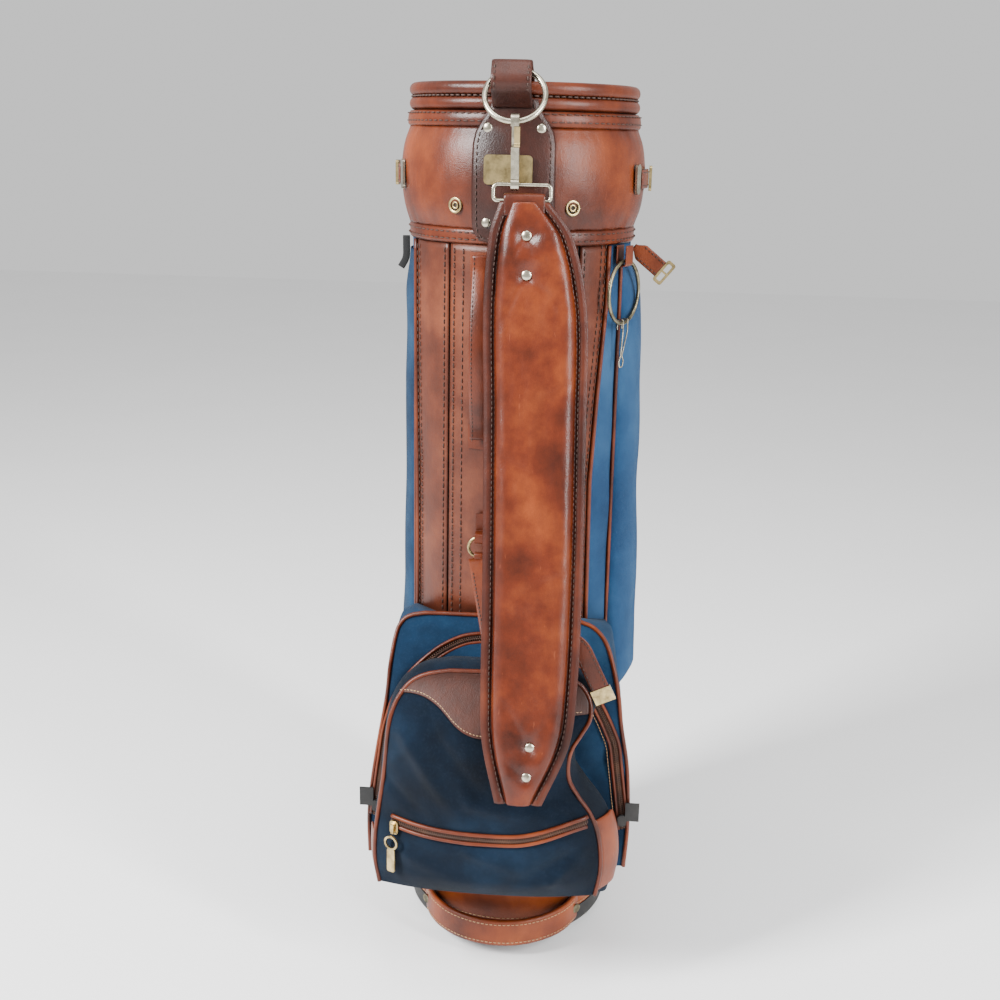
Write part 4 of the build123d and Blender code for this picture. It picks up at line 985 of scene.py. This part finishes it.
def add_ball_pocket():
    """The navy pocket with its yoke, piping, zip and leather corners."""
    left, right = follow(BALL_LEFT), follow(BALL_RIGHT)
    front = patch(ball_front, left, right, BALL_LOW, BALL_TOP, 130, 150, CLOTH)
    outline, loop = pocket_outline(left, right, BALL_LOW, BALL_TOP, 30, 0.0012)
    back = [(x * 1.03 if z < BALL_TOP - 0.02 else x, min(z, BALL_TOP)) for x, z in loop]
    count = len(loop)
    middle = Vector((0, 0.235))

    def side_wall(u, v):
        index = int(round(u * count)) % count
        x0, z0 = back[index]
        x1, z1 = loop[index]
        start = Vector((x0, BALL_BACK, z0))
        end = ball_front(x1, min(max(z1, BALL_LOW), BALL_TOP))
        point = start.lerp(end, v)
        out = Vector((x1 - middle.x, z1 - middle.y)).normalized()
        low_right = smooth_step(0.25, 0.2, z1) if x1 > 0 else 0.0
        swell = (0.0045 + 0.009 * low_right) * sin(pi * v) * (1 if z1 > BALL_LOW + 0.002 else 0.1)
        swell += 0.0016 * ripple(x1, point.y, z1, 40.0, 9.1) * sin(pi * v)
        return point + Vector((out.x, 0, out.y)) * swell, Vector((out.x, 0, out.y))
    wall = slab(side_wall, count, 14, CLOTH, closed=True)
    make_piece("ball_pocket_canvas", *join_meshes([front, wall]), navy_canvas, "bag", "navy_canvas", ["ball_pocket"])
    piping = [Vector((x, ball_front(x, min(z, BALL_TOP)).y - 0.0006, z)) for x, z in outline]
    make_piece("ball_pocket_piping", *tube(piping, PIPING, 10), saddle, "bag", "tan_leather", ["pocket_piping"])
    # scalloped yoke over the top
    scallop = ((-0.103, 0.3225), (-0.094, 0.3255), (-0.081, 0.3265), (-0.068, 0.3245), (-0.055, 0.319),
               (-0.045, 0.312), (-0.037, 0.306), (-0.026, 0.3005), (-0.011, 0.2975), (0.02, 0.3005), (0.045, 0.309),
               (0.065, 0.315), (0.0905, 0.3165))

    def yoke(u, v):
        low_x = -0.0975 + 0.186 * u
        low = curve_through(scallop, low_x)
        z = low + (BALL_TOP - 0.001 - low) * v
        span_left, span_right = curve_through(BALL_LEFT, z) + 0.0012, curve_through(BALL_RIGHT, z) - 0.0012
        bottom = low_x
        x = bottom + (span_left + (span_right - span_left) * u - bottom) * v
        x = min(max(x, span_left), span_right)
        normal = facing(ball_front, x, z)
        return ball_front(x, z) + normal * 0.0014, normal
    make_piece("ball_pocket_yoke", *slab(yoke, 90, 30, CLOTH), yoke_leather, "bag", "tan_leather", ["ball_yoke"])
    row = [ball_front(x, curve_through(scallop, x) + 0.003) + Vector((0, -0.0018, 0))
           for x in [-0.092 + 0.176 * k / 90 for k in range(91)]]
    make_piece("yoke_stitching", *stitch_row(row, lambda p: (0, -1, 0.2), 0.0034, 0.0022, 0.00038), tan_thread,
               "bag", "tan_leather")
    # zip with leather welts
    xs = [-0.0985 + 0.190 * k / 80 for k in range(81)]
    line = [ball_front(x, zip_height_at(x)) + Vector((0, -0.0012, 0)) for x in xs]

    def normal_of(p):
        return facing(ball_front, min(max(p.x, -0.1), 0.095), p.z)
    tapes, teeth = coil_zip(line, normal_of, lambda p: Vector((0, 0, 1)), 0.011)
    make_piece("ball_pocket_zip", *tapes, zip_tape, "bag", "zip_tape", ["ball_zip"])
    make_piece("ball_pocket_zip_coil", *teeth, coil_brown, "bag", "zip_tape")
    welts = []
    for side in (-1, 1):
        rail = [ball_front(x, zip_height_at(x) + side * 0.0047) + Vector((0, -0.0014, 0)) for x in xs]
        welts.append(tube(rail, PIPING, 8))
    make_piece("ball_pocket_welts", *join_meshes(welts), saddle, "bag", "tan_leather")
    # leather corners beside the zip
    corners = []
    for side, high, reach in ((-1, 0.182, 0.6), (1, 0.207, 0.96)):
        def corner(u, v, side=side, high=high, reach=reach):
            z = BALL_LOW + 0.006 + (high - BALL_LOW - 0.006) * v
            edge = curve_through(BALL_LEFT if side < 0 else BALL_RIGHT, z)
            taper = reach * (0.45 + 0.55 * sin(pi * min(1.0, 0.15 + 0.85 * v)) ** 0.7)
            w = 1 - u * taper
            start = Vector((edge * 1.03, BALL_BACK, z))
            end = ball_front(edge, z)
            point = start.lerp(end, w)
            out = Vector((side, 0, 0))
            swell = (0.0045 + (0.009 if side > 0 else 0)) * sin(pi * w) + 0.0022
            return point + out * swell, out
        corners.append(slab(corner, 24, 30, CLOTH))
    make_piece("ball_pocket_corners", *join_meshes(corners), tan, "bag", "tan_leather", ["pocket_gussets"])


# ================= upper pocket =================
UPPER_BACK = -0.045
UPPER_FRONT = -0.141
UPPER_LEFT = ((0.122, -0.134), (0.164, -0.1345), (0.205, -0.1305), (0.250, -0.1235), (0.300, -0.115), (0.335, -0.1115),
              (0.360, -0.108), (0.370, -0.104), (0.378, -0.094), (0.381, -0.080))
UPPER_RIGHT = ((0.122, 0.130), (0.164, 0.132), (0.205, 0.131), (0.240, 0.128), (0.280, 0.121), (0.315, 0.1165),
               (0.345, 0.109), (0.363, 0.101), (0.375, 0.088), (0.381, 0.072))
UPPER_LOW, UPPER_TOP = 0.122, 0.381
UPPER_FOLDS = ((-0.118, 0.300, -0.080, 0.350, 0.0030, 0.010), (-0.122, 0.262, -0.09, 0.31, -0.0025, 0.009),
               (0.125, 0.235, 0.100, 0.310, 0.0028, 0.008), (-0.125, 0.22, -0.12, 0.16, 0.0030, 0.009),
               (0.118, 0.26, 0.09, 0.225, -0.0028, 0.008), (-0.09, 0.372, -0.03, 0.368, 0.0022, 0.007))


def upper_front(x, z):
    left, right = curve_through(UPPER_LEFT, z), curve_through(UPPER_RIGHT, z)
    across = min(1.0, max(-1.0, (2 * x - left - right) / (right - left)))
    bow = max(0.0, 1 - abs(across) ** 3.0)
    y = UPPER_FRONT + 0.0035 * (1 - bow) + 0.0255 * smooth_step(0.318, UPPER_TOP + 0.006, z) ** 1.2
    y -= bow ** 0.5 * (1.4 * fold_height(x, z, UPPER_FOLDS) + 0.0022 * ripple(x, 0, z, 26.0, 6.3)) * smooth_step(
        0.0, 0.02, UPPER_TOP + 0.002 - z)
    return Vector((x, min(y, -0.1145), z))


def trunk_y(x):
    """Where the trunk's front stands behind the pocket, for a given x."""
    reach = canvas_radius + 0.0015
    return -sqrt(max(0.0, reach**2 - x * x)) if abs(x) < reach else 0.0


def add_upper_pocket():
    """The blue pocket behind it, with its arched zip."""
    left, right = follow(UPPER_LEFT), follow(UPPER_RIGHT)
    front = patch(upper_front, left, right, UPPER_LOW, UPPER_TOP, 110, 130, CLOTH)
    outline, loop = pocket_outline(left, right, UPPER_LOW, UPPER_TOP, 40, 0.0015)
    total = len(loop)

    def side_wall(u, v):
        x1, z1 = loop[int(round(u * total)) % total]
        end = upper_front(x1, min(max(z1, UPPER_LOW), UPPER_TOP))
        side = abs(x1) / 0.134
        back_x = (0.100 if abs(x1) > 0.100 else abs(x1)) * (1 if x1 > 0 else -1)
        back_y = min(UPPER_BACK, trunk_y(back_x) - 0.001) if abs(x1) < 0.1 else -0.046
        start = Vector((back_x, back_y, min(z1, UPPER_TOP) - 0.010 * smooth_step(0.33, UPPER_TOP, z1)))
        point = start.lerp(end, v)
        out = Vector((side * (1 if x1 > 0 else -1), 0, 1.0 if z1 >= UPPER_TOP - 0.004 else 0.0)).normalized()
        if z1 <= UPPER_LOW + 0.001:
            out = Vector((0, 0, -1))
        swell = (0.007 if abs(x1) > 0.08 and z1 > UPPER_LOW + 0.001 else 0.002) * sin(pi * v)
        swell += 0.002 * ripple(x1, point.y, z1, 34.0, 2.1) * sin(pi * v)
        return point + out * swell, out
    wall = slab(side_wall, total, 16, CLOTH, closed=True)
    make_piece("upper_pocket_canvas", *join_meshes([front, wall]), pocket_canvas, "bag", "navy_canvas",
               ["upper_pocket"])
    piping = [Vector((x, upper_front(x, min(z, UPPER_TOP)).y - 0.0004, z)) for x, z in outline]
    make_piece("upper_pocket_piping", *tube(piping, PIPING, 10), saddle, "bag", "tan_leather")
    half = [(-0.1275, 0.166), (-0.1257, 0.180), (-0.1224, 0.205), (-0.1189, 0.232), (-0.115, 0.262),
            (-0.106, 0.294), (-0.0935, 0.318), (-0.079, 0.3345), (-0.063, 0.3475), (-0.050, 0.3545),
            (-0.037, 0.3595), (-0.020, 0.362)]
    arch = half + [(0.0, 0.3625), (0.02, 0.362), (0.04, 0.358), (0.06, 0.349), (0.078, 0.334), (0.091, 0.312),
                   (0.104, 0.288), (0.115, 0.262), (0.1179, 0.240), (0.1211, 0.215), (0.1244, 0.190), (0.1275, 0.166)]
    path = dense(rounded_path([(x, 0, z) for x, z in arch], 0.02), 0.003)
    line = [upper_front(p.x, p.z) + Vector((0, -0.0014, 0)) for p in path]

    def sideways(p):
        nearest = min(range(len(line)), key=lambda k: (line[k] - p).length_squared)
        ahead = line[min(nearest + 1, len(line) - 1)] - line[max(nearest - 1, 0)]
        return ahead.cross(Vector((0, -1, 0))).normalized()
    tapes, teeth = coil_zip(line, lambda p: Vector((0, -1, 0)), sideways, 0.010)
    make_piece("upper_pocket_zip", *tapes, zip_tape, "bag", "zip_tape", ["upper_zip"])
    make_piece("upper_pocket_zip_coil", *teeth, coil_brown, "bag", "zip_tape")
    welts = []
    for side in (-1, 1):
        rail = [p + sideways(p) * side * 0.0046 + Vector((0, -0.0002, 0)) for p in line]
        welts.append(tube(rail, 0.0018, 8))
    make_piece("upper_pocket_welts", *join_meshes(welts), saddle, "bag", "tan_leather")
    parts = [stitch_row([p + sideways(p) * 0.0085 + Vector((0, 0.0002, 0)) for p in line],
                        lambda p: (0, -1, 0), 0.0036, 0.0024, 0.0004)]
    sew("upper_pocket_stitching", parts, tan_thread, "bag", "navy_canvas")


# ================= side pockets =================
def add_garment_pockets():
    """The long side pockets and the zips behind them."""
    for name, side, bulge in (("right", 1, 0.0225), ("left", -1, 0.0105)):
        low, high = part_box("garment_pocket_" + name)[0][2] + 0.002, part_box("garment_pocket_" + name)[1][2] - 0.002
        start, end = 66.0, 142.0

        def bag_side(u, v, side=side, bulge=bulge, low=low, high=high):
            z = low + (high - low) * v
            rise = smooth_step(-0.02, 0.07, v) * (1 - smooth_step(0.9, 1.0, v)) * (0.45 + 0.55 * (1 - v))
            corner = 1 - 0.25 * (1 - smooth_step(0.0, 0.05, v)) ** 2
            middle = (start + end) / 2
            angle = middle + (start + (end - start) * u - middle) * corner
            bow = max(0.0, 1 - abs(2 * u - 1) ** 2.6)
            reach = canvas_radius + 0.0012 + bow ** 0.6 * (bulge * rise + 0.0012)
            point = around(1, side * angle, z)
            reach += 0.0022 * ripple(point.x * 0.12, point.y * 0.12, z, 15.0, 4.0 + side) * bow
            fold = exp(-((u - 0.34 - 0.1 * v) / 0.06) ** 2) - exp(-((u - 0.66 + 0.05 * v) / 0.05) ** 2)
            reach += 0.0022 * fold * bow * rise
            return around(reach, side * angle, z), radial(point)
        verts, faces = slab(bag_side, 56, 110, CLOTH)
        make_piece("garment_pocket_cloth_" + name, verts, faces, pocket_canvas if side < 0 else body_canvas, "bag",
                   "navy_canvas", ["garment_pocket_" + name])
        rims = []
        for u in (0.0, 1.0):
            rims.append([bag_side(u, k / 80)[0] for k in range(81)])
        foot = [bag_side(k / 40, 0.0)[0] for k in range(41)]
        pipes = [tube(path, PIPING, 8) for path in rims + [foot]]
        make_piece("garment_pocket_piping_" + name, *join_meshes(pipes), saddle, "bag", "tan_leather")
    tapes, coils, welts = [], [], []

    def across(p):
        return Vector((0, 0, 1)).cross(radial(p)).normalized()
    for side in (-1, 1):
        line = [around(canvas_radius + 0.0022, side * 147, 0.300 + 0.39 * k / 60) for k in range(61)]
        tape, teeth = coil_zip(line, radial, across, 0.010)
        tapes.append(tape)
        coils.append(teeth)
        for edge in (-1, 1):
            welts.append(tube([p + across(p) * edge * 0.0056 for p in line], 0.0016, 8))
    make_piece("side_pocket_zips", *join_meshes(tapes), zip_tape, "bag", "zip_tape", ["garment_zips"])
    make_piece("side_pocket_zip_coils", *join_meshes(coils), coil_brown, "bag", "zip_tape")
    make_piece("side_pocket_welts", *join_meshes(welts), saddle, "bag", "tan_leather")


add_ball_pocket()
add_upper_pocket()
add_garment_pockets()
# ================= straps and handles =================
def edge_rows(path, half, normal, rise, pitch=0.0044, length=0.003, radius=0.00042):
    """Stitch rows along both edges of a strap lying across a normal."""
    points = [Vector(p) for p in path]
    up = Vector(normal).normalized()
    parts = []
    for side in (-1, 1):
        row = []
        for k, point in enumerate(points):
            ahead = points[min(len(points) - 1, k + 1)] - points[max(0, k - 1)]
            row.append(point + ahead.cross(up).normalized() * side * half + up * rise)
        parts.append(stitch_row(row, lambda p: up, pitch, length, radius))
    return parts


def dome(centre, normal, radius, height, rings=7, sides=24):
    """A domed rivet head with a rolled edge."""
    centre, up = Vector(centre), Vector(normal).normalized()
    along = up.orthogonal().normalized()
    other = up.cross(along)
    verts = [centre - up * 0.001 + (along * cos(a) + other * sin(a)) * radius * 0.92
             for a in [2 * pi * s / sides for s in range(sides)]]
    for ring in range(rings):
        turn = pi / 2 * ring / rings
        for s in range(sides):
            a = 2 * pi * s / sides
            verts.append(centre + (along * cos(a) + other * sin(a)) * radius * cos(turn) + up * height * sin(turn))
    faces = skin_rings(rings + 1, sides, caps=False)
    verts.append(centre + up * height)
    tip = len(verts) - 1
    faces += [(rings * sides + s, rings * sides + (s + 1) % sides, tip) for s in range(sides)]
    faces.append(tuple(range(sides))[::-1])
    return verts, faces


def torus(centre, normal, radius, wire, sides=36):
    centre, up = Vector(centre), Vector(normal).normalized()
    along = up.orthogonal().normalized()
    other = up.cross(along)
    path = [centre + (along * cos(2 * pi * k / sides) + other * sin(2 * pi * k / sides)) * radius
            for k in range(sides)]
    return tube(path, wire, 10, closed=True)


def add_fittings():
    """Rivet heads and hood studs."""
    heads = []
    for side in (-1, 1):
        for height in (0.849, 0.766):
            foot = tab_point(side * 0.0245, height, -0.0003)
            heads.append(dome(foot, radial(foot), 0.0046, 0.0020))
    make_piece("tab_rivet_heads", *join_meshes(heads), nickel, "bag", "brass", ["tab_rivets"])
    heads = []
    for x, drop in RIVETS:
        foot = pad_point(x, drop, pad_height(x, drop) + 0.0006)
        heads.append(dome(foot, PAD_NORMAL, 0.0049, 0.0021))
    make_piece("pad_rivet_heads", *join_meshes(heads), nickel, "pad", "brass", ["pad_rivets"])
    rims, holes, eyes = [], [], []
    for side in (-1, 1):
        foot = around(cuff_skin(side * STUD_ANGLE, STUD_HEIGHT) - 0.0002, side * STUD_ANGLE, STUD_HEIGHT)
        out = radial(foot)
        rims.append(torus(foot + out * 0.0009, out, 0.0062, 0.0014))
        holes.append(dome(foot - out * 0.0005, out, 0.0056, 0.0012))
        eyes.append(torus(foot + out * 0.0011, out, 0.0026, 0.0009, 24))
    make_piece("hood_stud_rims", *join_meshes(rims + eyes), brass, "bag", "brass", ["hood_studs"])
    # painted shade: the stud holes are filled with the dark shadow fill
    make_piece("hood_stud_holes", *join_meshes(holes), shadow_fill, "bag", "brass")


HANDLE_X = -0.028
ANCHOR_X = -0.02642
CUFF_STRAP_LOW, CUFF_STRAP_WIDTH = 0.7962, 0.0176
HANDLE_BOW = ((0.562, -0.1166), (0.577, -0.1168), (0.612, -0.1288), (0.649, -0.1340), (0.686, -0.1288),
              (0.721, -0.1168), (0.736, -0.1166))


def add_carry_handle():
    """The carry handle, bowed out between its sewn ends."""
    low, high = HANDLE_BOW[0][0], HANDLE_BOW[-1][0]
    heights = [low + (high - low) * k / 70 for k in range(71)]
    path = [Vector((HANDLE_X, curve_through(HANDLE_BOW, z), z)) for z in heights]
    make_piece("carry_handle_leather", *strap(path, 0.018, 0.0046, (1, 0, 0), 0.5), saddle, "handle",
               "saddle_leather", ["carry_handle"])
    parts = edge_rows([p + Vector((0, -0.0024, 0)) for p in path], 0.0064, (0, -1, 0), 0.0002)
    sew("carry_handle_stitching", parts, dark_thread, "handle", "saddle_leather")


def add_lower_strap():
    """The strap from the anchor ring to the pad, with the turn that holds it on the ring."""
    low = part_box("lower_strap")[0]
    top = Vector((ANCHOR_X, -0.1197, 0.4425))
    foot = Vector((-0.0004, low[1] + 0.0015, 0.376))
    run = foot - top
    out = Vector((0, run.z, -run.y)).normalized()
    path = [top + run * k / 24 + out * (0.0012 + 0.0016 * sin(pi * k / 24)) for k in range(25)]
    make_piece("lower_strap_leather", *flat_strap(path, 0.0198, 0.0024, out), saddle, "lower_strap",
               "saddle_leather", ["lower_strap"])
    parts = edge_rows(path[4:], 0.0076, out, 0.0013)
    sew("lower_strap_stitching", parts, dark_thread, "lower_strap", "saddle_leather")
    wrap = rounded_path([(ANCHOR_X, y, z) for y, z in ((-0.1197, 0.4405), (-0.1221, 0.4420), (-0.1221, 0.4478),
                                                       (-0.1153, 0.4478), (-0.1155, 0.4395))], 0.0015)
    make_piece("lower_strap_turn", *strap(dense(wrap, 0.001), 0.0085, 0.0019, (1, 0, 0)), saddle, "lower_strap",
               "saddle_leather")


def add_strap_tail():
    """The loose end of the strap below the pad."""
    tail = dense(rounded_path([(0.050, -0.1822, 0.388), (0.076, -0.1822, 0.386), (0.0985, -0.1822, 0.339)], 0.012),
                 0.002)
    make_piece("strap_tail_leather", *flat_strap(tail, 0.018, 0.0024, (0, -1, 0)), saddle, "pad", "saddle_leather",
               ["strap_tail"])
    sew("strap_tail_stitching", edge_rows(tail, 0.0066, (0, -1, 0), 0.0012), dark_thread, "pad", "saddle_leather")


def add_side_fittings():
    """The umbrella strap, the towel ring's loop and the glove strap."""
    lean = radians(39)
    root, way = Vector((0.1125, -0.02, 0.7405)), Vector((cos(lean), 0, -sin(lean)))
    path = [root + way * (0.0345 * k / 20) for k in range(21)]
    make_piece("umbrella_strap_leather", *flat_strap(path, lambda t: 0.006 + 0.0115 * smooth_step(0, 0.3, t), 0.0026,
                                                     (0, -1, 0)), saddle, "umbrella_strap", "saddle_leather",
               ["umbrella_strap"])
    sew("umbrella_strap_stitching", edge_rows(path[6:], 0.0062, (0, -1, 0), 0.0013), dark_thread,
        "umbrella_strap", "saddle_leather")
    spot = radians(62)
    out, along = Vector((sin(spot), -cos(spot), 0)), Vector((cos(spot), sin(spot), 0))
    path = rounded_path([out * r + Vector((0, 0, z)) for r, z in
                         ((0.1121, 0.744), (0.1121, 0.725), (0.1222, 0.725), (0.1222, 0.744))], 0.003)
    make_piece("towel_loop_leather", *strap(dense(path, 0.0015), 0.014, 0.002, along), saddle, "bag",
               "saddle_leather", ["towel_loop"])
    path = dense(rounded_path([(-0.1157, -0.0095, 0.744), (-0.1155, -0.0095, 0.722), (-0.1212, -0.0095, 0.7125)],
                              0.008), 0.002)
    make_piece("glove_strap_webbing", *flat_strap(path, 0.0072, 0.0028, (0, -1, 0)), webbing_black, "bag",
               "black_webbing", ["glove_strap"])


def add_cuff_straps():
    """The two short straps wrapped on the cuff's sides."""
    straps, rows = [], []
    for side in (-1, 1):
        def wrap_round(u, v, side=side):
            angle, z = side * (72 + 22 * u), CUFF_STRAP_LOW + CUFF_STRAP_WIDTH * v
            dome_up = 0.0005 * (1 - abs(2 * v - 1) ** 3)
            return around(0.1231 + dome_up, angle, z), radial(around(1, angle, 0))
        straps.append(slab(wrap_round, 24, 10, 0.0026))
        for z in (0.7988, 0.8112):
            rows.append(stitch_row([around(0.1234, side * (73 + 20 * k / 20), z) for k in range(21)], radial,
                                   0.0042, 0.0028, 0.00042))
    make_piece("cuff_strap_leather", *join_meshes(straps), saddle, "bag", "saddle_leather", ["cuff_straps"])
    sew("cuff_strap_stitching", rows, dark_thread, "bag", "saddle_leather")


HANDLE_CENTRE, HANDLE_ARC = -0.0533, 0.0877


def add_base():
    """The leather band round the foot and the riveted base handle in front of it."""
    band = [(0.1064, 0.0272), (0.1092, 0.0272), (0.1101, 0.030), (0.1099, 0.075), (0.1090, 0.0778), (0.1064, 0.0778)]
    make_piece("base_band_leather", *ring_of(band, 180, 0.0006, 7.0), tan, "bag", "tan_leather", ["base_band"])
    rows = [stitch_row(circle_line(0.1101, z), radial, 0.005, 0.0034, 0.00045) for z in (0.0312, 0.0740)]

    def bow(u, v):
        turn = radians(-72.5 + 145 * u)
        flare = smooth_step(0.33, 0.5, abs(u - 0.5))
        z = 0.0185 + 0.029 * v
        reach = HANDLE_ARC - 0.0004 + 0.0007 * (1 - abs(2 * v - 1) ** 4) - 0.0004 * flare
        x, y = reach * sin(turn), HANDLE_CENTRE - reach * cos(turn)
        reach += 0.0004 * ripple(x, y, z, 50.0, 2.0)
        return Vector((reach * sin(turn), HANDLE_CENTRE - reach * cos(turn), z)), (sin(turn), -cos(turn), 0)
    make_piece("base_handle_leather", *slab(bow, 90, 14, 0.0044), tan, "bag", "tan_leather", ["base_handle"])
    for v in (0.13, 0.87):
        row = [bow(0.04 + 0.92 * k / 90, v)[0] for k in range(91)]
        rows.append(stitch_row(row, lambda p: (p.x, p.y - HANDLE_CENTRE, 0), 0.0046, 0.0031, 0.00045))
    sew("base_stitching", rows, tan_thread, "bag", "tan_leather")


add_fittings()
add_carry_handle()
add_lower_strap()
add_strap_tail()
add_side_fittings()
add_cuff_straps()
add_base()
